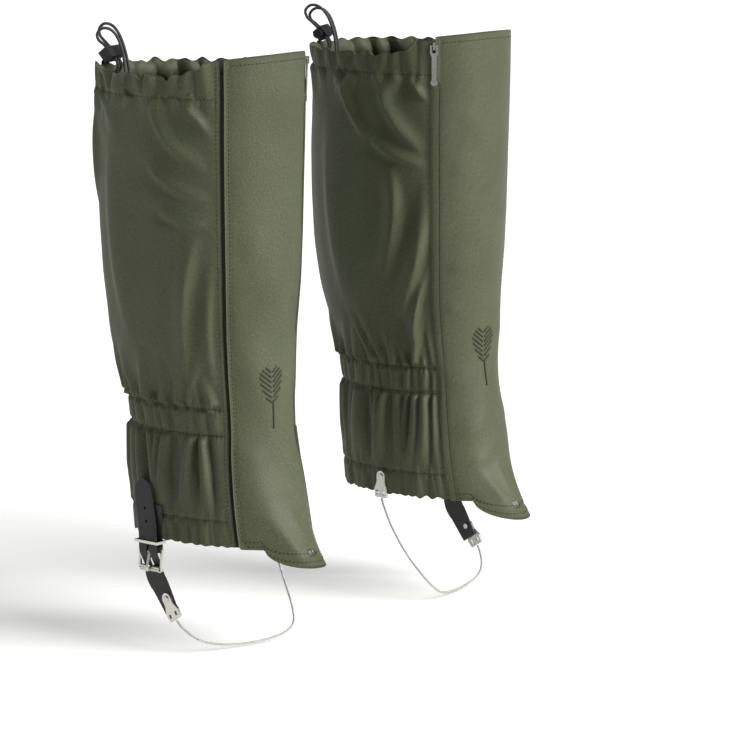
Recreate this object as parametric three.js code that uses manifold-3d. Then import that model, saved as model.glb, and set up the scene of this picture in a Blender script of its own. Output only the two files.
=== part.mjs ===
// A pair of knee-high walking gaiters, held as they are worn, in millimetres, +Z up.
// The shins face -Y. Each gaiter is drawn as the left one, with +X on the outer side of the leg,
// and the right one is its mirror. The origin lies midway between the two leg openings, at rim height.
import * as THREE from "three";
import { mergeVertices } from "three/addons/utils/BufferGeometryUtils.js";
import Module from "manifold-3d";

const wasm = await Module();
wasm.setup();

// ---- Driving dimensions ----
const LEG_SPACING = 258;
const ROUNDNESS = 2.2; // exponent of the leg's rounded oval section
// Height, half depth, half width and forward shift of the gaiter's outer face, from the rim down.
const SECTIONS = [
  { z: 16, halfDepth: 88.8, halfWidth: 72, forward: -1 },
  { z: -200, halfDepth: 85.5, halfWidth: 64.5, forward: -2 },
  { z: -268, halfDepth: 74, halfWidth: 54, forward: 7.5 },
  { z: -290, halfDepth: 73.5, halfWidth: 53, forward: 10 },
  { z: -330, halfDepth: 78, halfWidth: 55.5, forward: 13.5 },
  { z: -377, halfDepth: 80, halfWidth: 56, forward: 20 },
  { z: -420, halfDepth: 82, halfWidth: 56, forward: 26 },
];
const GAP = 0.3; // clearance between neighbouring pieces
const FABRIC = 1.2;
const FRONT_FABRIC = 1.6;
const PANEL_STEPS = 34; // facets round the side and back panel
const RIM = -3;
const FRONT_TOP = 12;
const FRONT_CROWN = 3; // the front panel's top edge rises this much at its middle
const HEM = -377;
const HEM_BAND = 20;
const HEM_CHANNEL = 1.6;
const CASING_BAND = 20;
const CASING_CHANNEL = 3.4;
const ANKLE_BAND = { top: -269, bottom: -289, thickness: 0.9 };
const TONGUE = { drop: 16, halfWidth: 30, flare: 25, flareStart: -340 };
const BAND_WIDTH_ANGLE = degrees(4.6); // visible width of the recessed band beside the front panel
const SEAM_GROOVE = 1.8; // half the open width over the zip
const ZIP = { top: 4, bottom: -364, gap: 0.7, coil: 1.9, tape: 12 };
const ZIP_LAYERS = { coilOut: -4.5, coilIn: -6.7, tapeOut: -5.3, tapeIn: -5.9 };
const SLIDER = { z: 5, length: 9, halfWidth: 4.2, plate: 0.8, lugHole: 1.8 };
const CORD_RADIUS = 1.25;
const LOCK_TILT = degrees(40);
const LOCK_INSET = 6;
const LOCK_HEIGHT = 5.5;
const STRAND_PITCH = 2.6; // half the distance between the two strands in the lock
const BUTTON_TRAVEL = 3;
const STRAP_WIDTH = 20;
const STRAP_THICKNESS = 1.4;
// The long slot lets the prong's eye stand proud of the strap, at any angle of the prong.
const STRAP_SLOT = { half: 1.9, bottom: -400, top: -382.4 };
const STRAP_HOLES = [-364, -353.5];
const HEEL_BAR = new THREE.Vector3(59.3, 2.2, -386);
const ROLLER_BAR = new THREE.Vector3(60.6, 2.2, -402);
const WIRE_RADIUS = 0.9;
const CLIP = { length: 23, topWidth: 9, bottomWidth: 14.5, thickness: 2.4, rivetAt: 4.5 };
const OUTER_CLIP = { top: new THREE.Vector3(58, -12, -421), lean: degrees(33) };
const INNER_CLIP = { angle: degrees(-91.7), top: -358.5 };
const LACE_HOOK = { z: -381, width: 8, length: 11, depth: 4.2, lip: 5, thickness: 1 };

// ---- Colours and finishes ----
const OLIVE = { color: 0x5d614c, roughness: 0.85, metalness: 0 };
const DARK_OLIVE = { color: 0x34362a, roughness: 0.9, metalness: 0 };
const BLACK_TAPE = { color: 0x222220, roughness: 0.8, metalness: 0 };
const BLACK_STRAP = { color: 0x2e2e30, roughness: 0.6, metalness: 0 };
const BLACK_CORD = { color: 0x303033, roughness: 0.8, metalness: 0 };
const BLACK_PLASTIC = { color: 0x1d1d1f, roughness: 0.45, metalness: 0 };
const NICKEL = { color: 0xd6d5c8, roughness: 0.3, metalness: 1 };
const STEEL = { color: 0xbfc0bf, roughness: 0.35, metalness: 1 };

function degrees(value) {
  return (value * Math.PI) / 180;
}

// ---- Solids ----
function namedMesh(name, geometry, finish) {
  const mesh = new THREE.Mesh(geometry, new THREE.MeshStandardMaterial(finish));
  mesh.name = name;
  return mesh;
}

function meshFrom(points, faces) {
  let volume = 0;
  for (const [a, b, c] of faces) {
    volume += points[a].dot(new THREE.Vector3().crossVectors(points[b], points[c]));
  }
  const geometry = new THREE.BufferGeometry().setFromPoints(points);
  geometry.setIndex(faces.flatMap(([a, b, c]) => (volume > 0 ? [a, b, c] : [a, c, b])));
  geometry.computeVertexNormals();
  return geometry;
}

// Skins a row of closed rings, each the same outline moved on, and closes both ends with the cap's faces.
function loft(rings, cap) {
  const count = rings[0].length;
  const faces = [];
  for (let ring = 0; ring + 1 < rings.length; ring++) {
    for (let i = 0; i < count; i++) {
      const a = ring * count + i;
      const b = ring * count + ((i + 1) % count);
      faces.push([a, b, b + count], [a, b + count, a + count]);
    }
  }
  const last = (rings.length - 1) * count;
  for (const [a, b, c] of cap) faces.push([a, c, b], [last + a, last + b, last + c]);
  return meshFrom(rings.flat(), faces);
}

function flatCap(outline) {
  const faces = THREE.ShapeUtils.triangulateShape(outline, []);
  return THREE.ShapeUtils.area(outline) > 0 ? faces : faces.map(([a, b, c]) => [a, c, b]);
}

// Closes the end of a ribbon whose ring runs along one side and back along the other.
function ribbonCap(pairs) {
  const faces = [];
  for (let i = 0; i + 1 < pairs; i++) {
    const across = 2 * pairs - 1 - i;
    faces.push([i, i + 1, across - 1], [i, across - 1, across]);
  }
  return faces;
}

function toManifold(geometry) {
  const bare = geometry.clone();
  bare.deleteAttribute("normal");
  bare.deleteAttribute("uv");
  const merged = mergeVertices(bare, 1e-4);
  const triVerts = Uint32Array.from(merged.index.array);
  const vertProperties = Float32Array.from(merged.attributes.position.array);
  return new wasm.Manifold(new wasm.Mesh({ numProp: 3, vertProperties, triVerts }));
}

function toGeometry(solid) {
  const mesh = solid.getMesh();
  const geometry = new THREE.BufferGeometry();
  geometry.setAttribute("position", new THREE.Float32BufferAttribute(mesh.vertProperties, 3));
  geometry.setIndex(Array.from(mesh.triVerts));
  geometry.computeVertexNormals();
  return geometry;
}

function joined(...geometries) {
  return toGeometry(geometries.map(toManifold).reduce((whole, next) => whole.add(next)));
}

function cutBy(geometry, ...cutters) {
  return toGeometry(cutters.map(toManifold).reduce((whole, next) => whole.subtract(next), toManifold(geometry)));
}

function box(lowX, highX, lowY, highY, lowZ, highZ) {
  const geometry = new THREE.BoxGeometry(highX - lowX, highY - lowY, highZ - lowZ);
  return geometry.translate((lowX + highX) / 2, (lowY + highY) / 2, (lowZ + highZ) / 2);
}

function rod(radius, start, end, sides = 12) {
  const along = end.clone().sub(start);
  const geometry = new THREE.CylinderGeometry(radius, radius, along.length(), sides);
  const up = new THREE.Vector3(0, 1, 0);
  geometry.applyQuaternion(new THREE.Quaternion().setFromUnitVectors(up, along.clone().normalize()));
  return geometry.translate(...start.clone().add(end).multiplyScalar(0.5));
}

function cordTube(curve, radius, steps) {
  const section = new THREE.Shape().absarc(0, 0, radius, 0, 2 * Math.PI);
  return new THREE.ExtrudeGeometry(section, { steps, curveSegments: 4, extrudePath: curve });
}

function plate(shape, thickness) {
  const geometry = new THREE.ExtrudeGeometry(shape, { depth: thickness, bevelEnabled: false, curveSegments: 6 });
  return geometry.translate(0, 0, -thickness / 2);
}

// Stands a mesh drawn at the origin in a frame given by its origin and its x and y directions.
function stand(mesh, frame) {
  const z = new THREE.Vector3().crossVectors(frame.x, frame.y);
  mesh.quaternion.setFromRotationMatrix(new THREE.Matrix4().makeBasis(frame.x, frame.y, z));
  mesh.position.copy(frame.origin);
  return mesh;
}

function placed(mesh) {
  mesh.updateMatrix();
  return mesh.geometry.clone().applyMatrix4(mesh.matrix);
}

// ---- The leg's outer face ----
function sectionAt(z) {
  let i = 0;
  while (i + 2 < SECTIONS.length && z < SECTIONS[i + 1].z) i++;
  const upper = SECTIONS[i];
  const lower = SECTIONS[i + 1];
  const share = (upper.z - z) / (upper.z - lower.z);
  const mix = (key) => upper[key] + (lower[key] - upper[key]) * share;
  return { halfDepth: mix("halfDepth"), halfWidth: mix("halfWidth"), forward: mix("forward") };
}

function rounded(value) {
  return Math.sign(value) * Math.abs(value) ** (2 / ROUNDNESS);
}

// The tongue leans forward over the instep, most at the middle of the front.
function tongueFlare(x, z) {
  const below = THREE.MathUtils.clamp((TONGUE.flareStart - z) / (TONGUE.flareStart - HEM + TONGUE.drop), 0, 1.2);
  const across = Math.cos(THREE.MathUtils.clamp(x / 48, -1, 1) * Math.PI * 0.5) ** 2;
  return TONGUE.flare * below ** 1.6 * across;
}

// Angle 0 is the middle of the shin, and grows round the outer side of the leg to the back.
function facePoint(angle, z) {
  const section = sectionAt(z);
  const x = section.halfWidth * rounded(Math.sin(angle));
  const y = -section.forward - section.halfDepth * rounded(Math.cos(angle));
  const front = Math.cos(angle) > 0 ? tongueFlare(x, z) : 0;
  return new THREE.Vector3(x, y - front, z);
}

function faceFrame(angle, z) {
  const step = 0.01;
  const along = facePoint(angle + step, z).sub(facePoint(angle - step, z)).normalize();
  const out = new THREE.Vector3(along.y, -along.x, 0);
  return { origin: facePoint(angle, z), along, out };
}

function insetPoint(angle, z, inset) {
  const frame = faceFrame(angle, z);
  return frame.origin.addScaledVector(frame.out, -inset);
}

// A sheet that follows the leg between two edges. section(share) gives its cut section as a ribbon,
// at that share of the way from the first edge to the second: pairs of [inset, height] corners,
// one on each side of the cloth, from one end of the ribbon to the other.
function sheet(firstEdge, secondEdge, steps, section) {
  const rings = [];
  for (let i = 0; i <= steps; i++) {
    const share = i / steps;
    const pairs = section(share);
    const corners = [...pairs.map(([side]) => side), ...pairs.map(([, side]) => side).reverse()];
    rings.push(
      corners.map(([inset, z]) => {
        const angle = THREE.MathUtils.lerp(firstEdge(z), secondEdge(z), share);
        return insetPoint(angle, z, inset);
      }),
    );
  }
  return loft(rings, ribbonCap(section(0).length));
}

function flatSection(heights, inset, thickness) {
  return heights.map((z) => [
    [inset, z],
    [inset + thickness, z],
  ]);
}

function outerSeam(z) {
  return degrees(38 + 7 * THREE.MathUtils.smoothstep(-z, 200, 377));
}

function innerSeam(z) {
  return degrees(-42 - 3 * THREE.MathUtils.smoothstep(-z, 240, 377));
}

function angleAcross(z, distance) {
  return distance / sectionAt(z).halfWidth;
}

function rimAt(share) {
  const fromSeam = Math.min(share, 1 - share);
  return RIM + (FRONT_TOP - 1 - RIM) * (1 - THREE.MathUtils.smoothstep(fromSeam, 0, 0.1));
}

// ---- Fabric pieces ----
const FACE_STATIONS = SECTIONS.slice(1, 5).map((section) => section.z);
const FRONT_STATIONS = [...FACE_STATIONS, -345, -362];

function foldDepth(share, full) {
  return share > 0.93 ? GAP : full;
}

// The cloth folds in at the rim to make the drawcord's casing, and at the hem to hold the elastic.
function sidePanelSection(share) {
  const rim = rimAt(share);
  const casing = FABRIC + foldDepth(share, CASING_CHANNEL);
  const hem = FABRIC + foldDepth(share, HEM_CHANNEL);
  const foldEnd = (inset, z) => [
    [inset + FABRIC, z],
    [inset, z],
  ];
  return [
    foldEnd(hem, HEM + HEM_BAND),
    [
      [hem + FABRIC, HEM],
      [hem, HEM + FABRIC],
    ],
    [
      [0, HEM],
      [FABRIC, HEM + FABRIC],
    ],
    ...flatSection([...FACE_STATIONS].reverse(), 0, FABRIC),
    [
      [0, rim],
      [FABRIC, rim - FABRIC],
    ],
    [
      [casing + FABRIC, rim],
      [casing, rim - FABRIC],
    ],
    foldEnd(casing, rim - CASING_BAND),
  ];
}

function sidePanelStart(z) {
  return outerSeam(z) + BAND_WIDTH_ANGLE;
}

function sidePanelEnd(z) {
  return 2 * Math.PI + innerSeam(z) - angleAcross(z, SEAM_GROOVE);
}

function innerRivetHole() {
  const frame = innerClipFrame();
  const centre = frame.origin.clone().addScaledVector(frame.y, -CLIP.rivetAt);
  const end = (out) => centre.clone().addScaledVector(frame.out, out);
  return rod(1.5, end(3), end(-12));
}

function sideBackPanel(lock) {
  const cloth = sheet(sidePanelStart, sidePanelEnd, PANEL_STEPS, sidePanelSection);
  const buttonhole = stand(new THREE.Mesh(box(-7.5, 7.5, -2, 1.9, -2.2, 2.2)), {
    origin: lock.place(0, -10.2, 0),
    x: lock.along,
    y: lock.out,
  });
  return cutBy(cloth, innerRivetHole(), placed(buttonhole));
}

function frontHeights(share) {
  const across = 2 * share - 1;
  const top = FRONT_TOP + FRONT_CROWN * (1 - across ** 2);
  const x = across * 44;
  const tongue = 1 - THREE.MathUtils.smoothstep(Math.abs(x), 6, TONGUE.halfWidth);
  return { top, bottom: HEM - 2 - TONGUE.drop * tongue };
}

function frontPanel() {
  const section = (share) => {
    const { top, bottom } = frontHeights(share);
    const heights = [top, ...FRONT_STATIONS, (FRONT_STATIONS.at(-1) + bottom) / 2, bottom];
    return flatSection(heights, 0, FRONT_FABRIC);
  };
  const first = (z) => innerSeam(z) + angleAcross(z, SEAM_GROOVE);
  const hook = laceHookFrame();
  const slot = stand(new THREE.Mesh(box(-4, 4, -3, 3, -2, 2)), {
    origin: hook.origin,
    x: new THREE.Vector3(1, 0, 0),
    y: hook.out,
  });
  return cutBy(sheet(first, outerSeam, 16, section), placed(slot));
}

// The darker strip under the front panel's outer edge, seen as a narrow recess.
function outerBand() {
  const first = (z) => outerSeam(z) - degrees(7);
  const second = (z) => sidePanelStart(z) - angleAcross(z, 1);
  const heights = [FRONT_TOP - 6, ...FRONT_STATIONS, HEM + 1];
  return sheet(first, second, 4, () => flatSection(heights, FRONT_FABRIC + 0.7, 1));
}

function elasticStrip(top, bottom, inset, thickness) {
  const first = (z) => sidePanelStart(z) + degrees(2);
  const second = (z) => sidePanelEnd(z) - degrees(22);
  return sheet(first, second, PANEL_STEPS - 4, () => flatSection([top, bottom], inset, thickness));
}

// ---- Zip in the inner seam ----
function zipHalf(side) {
  const { gap, coil, tape } = ZIP;
  const { coilOut, coilIn, tapeOut, tapeIn } = ZIP_LAYERS;
  const outline = [
    [gap, coilIn],
    [gap + coil, coilIn],
    [gap + coil, tapeIn],
    [tape, tapeIn],
    [tape, tapeOut],
    [gap + coil, tapeOut],
    [gap + coil, coilOut],
    [gap, coilOut],
  ].map(([across, out]) => new THREE.Vector2(side * across, out));
  const heights = [ZIP.top, ...FACE_STATIONS, -347, ZIP.bottom];
  const rings = heights.map((z) => {
    const frame = faceFrame(innerSeam(z), z);
    return outline.map((point) =>
      frame.origin.clone().addScaledVector(frame.along, point.x).addScaledVector(frame.out, point.y),
    );
  });
  return loft(rings, flatCap(outline));
}

function zipBottomBox() {
  const { coilOut, coilIn } = ZIP_LAYERS;
  const frame = faceFrame(innerSeam(ZIP.bottom), ZIP.bottom);
  const block = box(-4, 4, coilIn, coilOut, GAP, 8);
  const mesh = namedMesh("zip_bottom_box", block, BLACK_PLASTIC);
  return stand(mesh, { origin: frame.origin, x: frame.along, y: frame.out });
}

// The straight upper stretch of the seam: x along the cloth, y out of it, z up the seam.
function sliderFrame() {
  const start = faceFrame(innerSeam(SLIDER.z), SLIDER.z);
  const end = facePoint(innerSeam(SLIDER.z), SLIDER.z - 190);
  const up = start.origin.clone().sub(end).normalize();
  const out = start.out.clone().addScaledVector(up, -start.out.dot(up)).normalize();
  const along = new THREE.Vector3().crossVectors(out, up);
  return { origin: start.origin, x: along, y: out, up };
}

function zipSlider() {
  const { coilOut, coilIn } = ZIP_LAYERS;
  const half = SLIDER.halfWidth;
  const reach = SLIDER.length / 2;
  const outer = { low: coilOut + GAP, high: coilOut + GAP + SLIDER.plate };
  const inner = { low: coilIn - GAP - SLIDER.plate, high: coilIn - GAP };
  const plates = [outer, inner].map(({ low, high }) => box(-half, half, low, high, -reach, reach));
  const wedge = box(-0.4, 0.4, inner.low + 0.3, outer.high - 0.3, 0, reach - 0.2);
  const flanges = [-1, 1].map((side) => {
    const edges = [side * half, side * (half - 0.8)].sort((a, b) => a - b);
    return box(...edges, outer.low - 0.6, outer.high - 0.2, -reach + 0.2, reach - 0.2);
  });
  const lug = box(-1, 1, outer.high - 0.3, SLIDER.lugHole + 1.8, -3, 3);
  const hole = rod(1.15, new THREE.Vector3(-3, SLIDER.lugHole, 0), new THREE.Vector3(3, SLIDER.lugHole, 0));
  return cutBy(joined(...plates, wedge, ...flanges, lug), hole);
}

// A plain ring and tab. The top bar of its window is the hinge, at the drawing's origin.
function zipPull() {
  const outline = new THREE.Shape();
  outline.moveTo(-3.4, 0.6);
  outline.lineTo(3.4, 0.6);
  outline.lineTo(3.4, -6.5);
  outline.lineTo(2.1, -9);
  outline.lineTo(2.1, -28);
  outline.absarc(0, -30.5, 3, degrees(50), degrees(130), true);
  outline.lineTo(-2.1, -9);
  outline.lineTo(-3.4, -6.5);
  outline.closePath();
  const window = new THREE.Path();
  window.moveTo(-1.7, -0.6);
  window.lineTo(-1.7, -6);
  window.lineTo(1.7, -6);
  window.lineTo(1.7, -0.6);
  window.closePath();
  outline.holes.push(window);
  return plate(outline, 1.2);
}

// ---- Drawcord and cord lock ----
// A place beside the rim, given by distance out of the cloth, height and distance along the rim.
function lockPlacement(angle) {
  const frame = faceFrame(angle, 0);
  const origin = frame.origin.clone().addScaledVector(frame.out, -LOCK_INSET).setZ(0);
  const place = (out, up, along) =>
    origin.clone().addScaledVector(frame.out, out).addScaledVector(frame.along, along).setZ(up);
  const strand = frame.out.clone().multiplyScalar(Math.sin(LOCK_TILT)).setZ(Math.cos(LOCK_TILT));
  return { place, out: frame.out, along: frame.along, strand, angle };
}

// The doubled cord's middle line: out of the casing, through the lock, over the rim and down inside.
const CORD_LINE = [
  [-0.6, -10],
  [-4, -9],
  [-6, -5.5],
  [-5.4, -1.5],
  [-3.2, 1.7],
  [0, 5.5],
  [3.2, 9.3],
  [8, 13.6],
  [12.6, 17.6],
  [13.6, 23],
  [8.6, 27.4],
  [1.4, 26.4],
  [-4.6, 20.6],
  [-8.8, 11.5],
  [-11.6, 1],
  [-13.2, -10],
  [-13.8, -21],
];
const CORD_SPREAD = [2.6, 2.6, 2.6, 2.6, 2.6, 2.6, 2.6, 2.7, 3, 3.2, 3.2, 3, 2.6, 2.4, 2.6, 3.4, 4.8];
const CORD_NEST = [0, 0, 0, 0, 0, 0, 0, 0.4, 1.2, 1.6, 1.6, 1.4, 0.8, 0.3, 0, 0, 0];

function cordLoopRoute(lock) {
  const strand = (side) =>
    CORD_LINE.map(([out, up], i) => {
      const nest = side * CORD_NEST[i];
      return lock.place(out + nest * 0.6, up + nest, side * CORD_SPREAD[i]);
    });
  const bend = [lock.place(-14, -26, -3.7), lock.place(-14, -28, 0), lock.place(-14, -26, 3.7)];
  return [...strand(-1), ...bend, ...strand(1).reverse()];
}

// Points along the casing between two angles, about every nine degrees.
function casingRoute(firstAngle, lastAngle) {
  const inset = FABRIC + CASING_CHANNEL / 2;
  const span = sidePanelEnd(0) - sidePanelStart(0);
  const count = Math.round((lastAngle - firstAngle) / degrees(9));
  const points = [];
  for (let i = 0; i <= count; i++) {
    const angle = THREE.MathUtils.lerp(firstAngle, lastAngle, i / count);
    const rim = rimAt((angle - sidePanelStart(0)) / span);
    points.push(insetPoint(angle, rim - 8, inset));
  }
  return points;
}

// A spline divided evenly from point to point, so that close points give a tight bend more steps.
class PointwiseSpline extends THREE.CatmullRomCurve3 {
  getUtoTmapping(share) {
    return share;
  }
}

// One cord: from its sewn end along the casing, out through the lock in a loop, and back to the other end.
function drawcordRoute(lock) {
  const side = degrees(6);
  const exit = lock.angle < 0 ? 2 * Math.PI + lock.angle : lock.angle;
  return [
    ...casingRoute(sidePanelStart(0) + degrees(5), exit - side),
    lock.place(LOCK_INSET - 3.4, -10.4, -5),
    ...cordLoopRoute(lock),
    lock.place(LOCK_INSET - 3.4, -10.4, 5),
    ...casingRoute(exit + side, sidePanelEnd(0) - degrees(30)),
  ];
}

function drawcord(lock) {
  return cordTube(new PointwiseSpline(drawcordRoute(lock)), CORD_RADIUS, 80);
}

function lockFrame(lock) {
  const y = lock.strand;
  return { origin: lock.place(0, LOCK_HEIGHT, 0), x: lock.along, y };
}

function cordLockBody() {
  const shell = box(-13, 9, -5, 5, -4.4, 4.4);
  const socket = rod(3.4, new THREE.Vector3(-11.5, 0, 0), new THREE.Vector3(10, 0, 0));
  const holes = [-STRAND_PITCH, STRAND_PITCH].map((x) =>
    rod(1.6, new THREE.Vector3(x, -6, 0), new THREE.Vector3(x, 6, 0)),
  );
  return cutBy(shell, socket, ...holes);
}

function cordLockButton() {
  const plunger = rod(3, new THREE.Vector3(-6, 0, 0), new THREE.Vector3(13, 0, 0));
  const head = rod(3.9, new THREE.Vector3(9.3 + BUTTON_TRAVEL, 0, 0), new THREE.Vector3(15.5, 0, 0));
  const slot = box(-STRAND_PITCH - 1.7, STRAND_PITCH + 1.7 + BUTTON_TRAVEL, -4, 4, -1.6, 1.6);
  return cutBy(joined(plunger, head), slot);
}

class Helix extends THREE.Curve {
  constructor(radius, turns, start, end) {
    super();
    Object.assign(this, { radius, turns, start, end });
  }

  getPoint(t, target = new THREE.Vector3()) {
    const angle = t * this.turns * 2 * Math.PI;
    const x = THREE.MathUtils.lerp(this.start, this.end, t);
    return target.set(x, this.radius * Math.cos(angle), this.radius * Math.sin(angle));
  }
}

function lockSpring() {
  const section = new THREE.Shape().absarc(0, 0, 0.3, 0, 2 * Math.PI);
  const path = new Helix(2.3, 4, -10.9, -6.6);
  return new THREE.ExtrudeGeometry(section, { steps: 28, curveSegments: 3, extrudePath: path });
}

// ---- Buckle, strap and stirrup on the outer side ----
function buckleTab() {
  const { x, z } = HEEL_BAR;
  const outer = 2.7;
  const low = x - outer;
  const high = low + FABRIC;
  const outline = new THREE.Shape();
  outline.moveTo(low, -350);
  outline.lineTo(low, z);
  outline.absarc(x, z, outer, Math.PI, 2 * Math.PI + Math.acos((high - x) / outer), false);
  outline.lineTo(high, -350);
  outline.closePath();
  outline.holes.push(new THREE.Path().absarc(x, z, 1.75, 0, 2 * Math.PI));
  const strip = plate(outline, STRAP_WIDTH).rotateX(Math.PI / 2).translate(0, HEEL_BAR.y, 0);
  return cutBy(strip, box(low - 2, x + 5, HEEL_BAR.y - 1.9, HEEL_BAR.y + 1.9, z - 5, z + 4.4));
}

function rectangleRing(halfWidth, halfHeight, bar) {
  const ring = new THREE.Shape();
  const inner = new THREE.Path();
  for (const [path, inset] of [
    [ring, 0],
    [inner, bar],
  ]) {
    path.moveTo(-halfWidth + inset, -halfHeight + inset);
    path.lineTo(halfWidth - inset, -halfHeight + inset);
    path.lineTo(halfWidth - inset, halfHeight - inset);
    path.lineTo(-halfWidth + inset, halfHeight - inset);
    path.closePath();
  }
  ring.holes.push(inner);
  return ring;
}

function buckleFrame(prefix) {
  const bar = 2;
  const reach = HEEL_BAR.distanceTo(ROLLER_BAR) / 2 + bar / 2;
  const mesh = namedMesh(`${prefix}_buckle_frame`, plate(rectangleRing(13, reach, bar), bar), NICKEL);
  const up = HEEL_BAR.clone().sub(ROLLER_BAR).normalize();
  const origin = HEEL_BAR.clone().add(ROLLER_BAR).multiplyScalar(0.5);
  return stand(mesh, { origin, x: new THREE.Vector3(0, 1, 0), y: up });
}

function prong() {
  const { x, y, z } = HEEL_BAR;
  const eye = new THREE.Shape().absarc(x, z, 2.6, 0, 2 * Math.PI);
  eye.holes.push(new THREE.Path().absarc(x, z, 1.75, 0, 2 * Math.PI));
  const shaft = new THREE.Shape();
  shaft.moveTo(60.3, -388.1);
  shaft.lineTo(63.45, -400.6);
  shaft.lineTo(63.6, -404.2);
  shaft.lineTo(65.1, -403.8);
  shaft.lineTo(65.1, -400.2);
  shaft.lineTo(61.5, -386.8);
  shaft.closePath();
  return joined(
    ...[eye, shaft].map((shape) => plate(shape, 2.6).rotateX(Math.PI / 2).translate(0, y, 0)),
  );
}

function roller() {
  const half = 10.6;
  const profile = [
    [1.75, -half],
    [2.5, -half],
    [2.5, half],
    [1.75, half],
    [1.75, -half],
  ].map(([radius, height]) => new THREE.Vector2(radius, height));
  return new THREE.LatheGeometry(profile, 16);
}

function keeper() {
  const ring = rectangleRing(5.6, 12.6, 1.6);
  return plate(ring, 2.2);
}

// Mid-line of the adjusting strap, from its rounded free end down to the clip.
const STRAP_LINE = [
  [58, 13.4, -334.4],
  [58.3, 12.2, -339.5],
  [59, 9.7, -351],
  [60, 6.6, -365],
  [62.5, 3.4, -379],
  [63, 2.4, -387],
  [61.6, 2.2, -391.5],
  [58.8, 2.1, -396.5],
  [57.1, 2, -401],
  [57, 1.2, -407],
  [57, -1.8, -412],
  [57, -6, -417.2],
  [57, -17.5, -434.6],
].map((point) => new THREE.Vector3(...point));
const STRAP_END_WIDTH = 15;

function strapWidth(index) {
  if (index === 0) return STRAP_WIDTH * 0.45;
  return index === STRAP_LINE.length - 1 ? STRAP_END_WIDTH : STRAP_WIDTH;
}

function adjustingStrap() {
  const corners = [
    [-0.5, -0.5],
    [0.5, -0.5],
    [0.5, 0.5],
    [-0.5, 0.5],
  ];
  const rings = STRAP_LINE.map((point, i) => {
    const before = STRAP_LINE[Math.max(i - 1, 0)];
    const after = STRAP_LINE[Math.min(i + 1, STRAP_LINE.length - 1)];
    const travel = after.clone().sub(before).normalize();
    const out = new THREE.Vector3(1, 0, 0).addScaledVector(travel, -travel.x).normalize();
    const across = new THREE.Vector3().crossVectors(travel, out);
    return corners.map(([side, face]) =>
      point
        .clone()
        .addScaledVector(across, side * strapWidth(i))
        .addScaledVector(out, face * STRAP_THICKNESS),
    );
  });
  const body = loft(rings, flatCap(corners.map(([x, y]) => new THREE.Vector2(x, y))));
  const { y } = HEEL_BAR;
  const slot = box(54, 67, y - STRAP_SLOT.half, y + STRAP_SLOT.half, STRAP_SLOT.bottom, STRAP_SLOT.top);
  const frame = outerClipFrame();
  const rivetAt = frame.origin.clone().addScaledVector(frame.y, -CLIP.rivetAt);
  const hole = rod(1.5, rivetAt.clone().setX(52), rivetAt.clone().setX(64));
  const pinHoles = STRAP_HOLES.map((z) => {
    const share = (-z - 334.4) / 50;
    const at = 13.4 - 11 * share;
    return rod(1.2, new THREE.Vector3(54, at, z), new THREE.Vector3(66, at, z));
  });
  return cutBy(body, slot, hole, ...pinHoles);
}

function outerClipFrame() {
  const { top, lean } = OUTER_CLIP;
  const x = new THREE.Vector3(0, Math.cos(lean), -Math.sin(lean));
  const y = new THREE.Vector3(0, Math.sin(lean), Math.cos(lean));
  return { origin: top.clone().setX(58 + CLIP.thickness / 2), x, y, out: new THREE.Vector3(1, 0, 0) };
}

function innerClipFrame() {
  const face = faceFrame(INNER_CLIP.angle, INNER_CLIP.top - 12);
  const out = face.out;
  const origin = face.origin.clone().addScaledVector(out, GAP + CLIP.thickness / 2).setZ(INNER_CLIP.top);
  return { origin, x: face.along, y: new THREE.Vector3(0, 0, 1), out };
}

// A cast plate with a narrow round head, a wide foot and two cast windows.
function clipPlate() {
  const { length, topWidth, bottomWidth, thickness, rivetAt } = CLIP;
  const head = topWidth / 2;
  const foot = bottomWidth / 2;
  const outline = new THREE.Shape();
  outline.absarc(0, -head, head, 0, Math.PI, false);
  outline.lineTo(-head, -length * 0.42);
  outline.lineTo(-foot, -length * 0.72);
  outline.lineTo(-foot + 1, -length);
  outline.lineTo(foot - 1, -length);
  outline.lineTo(foot, -length * 0.72);
  outline.lineTo(head, -length * 0.42);
  const windows = [-1, 1].map((side) => {
    const middle = side * foot * 0.5;
    return box(middle - 1.2, middle + 1.2, -length * 0.9, -length * 0.74, -thickness, thickness);
  });
  const rivetHole = rod(1.5, new THREE.Vector3(0, -rivetAt, -thickness), new THREE.Vector3(0, -rivetAt, thickness));
  return cutBy(plate(outline, thickness), rivetHole, ...windows);
}

// A rivet drawn along y, with its outer head at the top and its shank down to the given depth.
function rivet(shankTop, shankBottom) {
  const profile = [
    [0, shankTop + 0.9],
    [1.8, shankTop + 0.7],
    [2.7, shankTop],
    [1.15, shankTop],
    [1.15, shankBottom],
    [2.3, shankBottom],
    [2.3, shankBottom - 0.6],
    [0, shankBottom - 0.6],
  ].map(([radius, height]) => new THREE.Vector2(radius, height));
  return new THREE.LatheGeometry(profile.reverse(), 10);
}

function rivetInClip(name, frame, depth) {
  const mesh = namedMesh(name, rivet(CLIP.thickness / 2 + GAP, -depth), NICKEL);
  const origin = frame.origin.clone().addScaledVector(frame.y, -CLIP.rivetAt);
  return stand(mesh, { origin, x: frame.x.clone().negate(), y: frame.out });
}

function clipFoot(frame) {
  return frame.origin.clone().addScaledVector(frame.y, -CLIP.length - WIRE_RADIUS);
}

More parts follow.
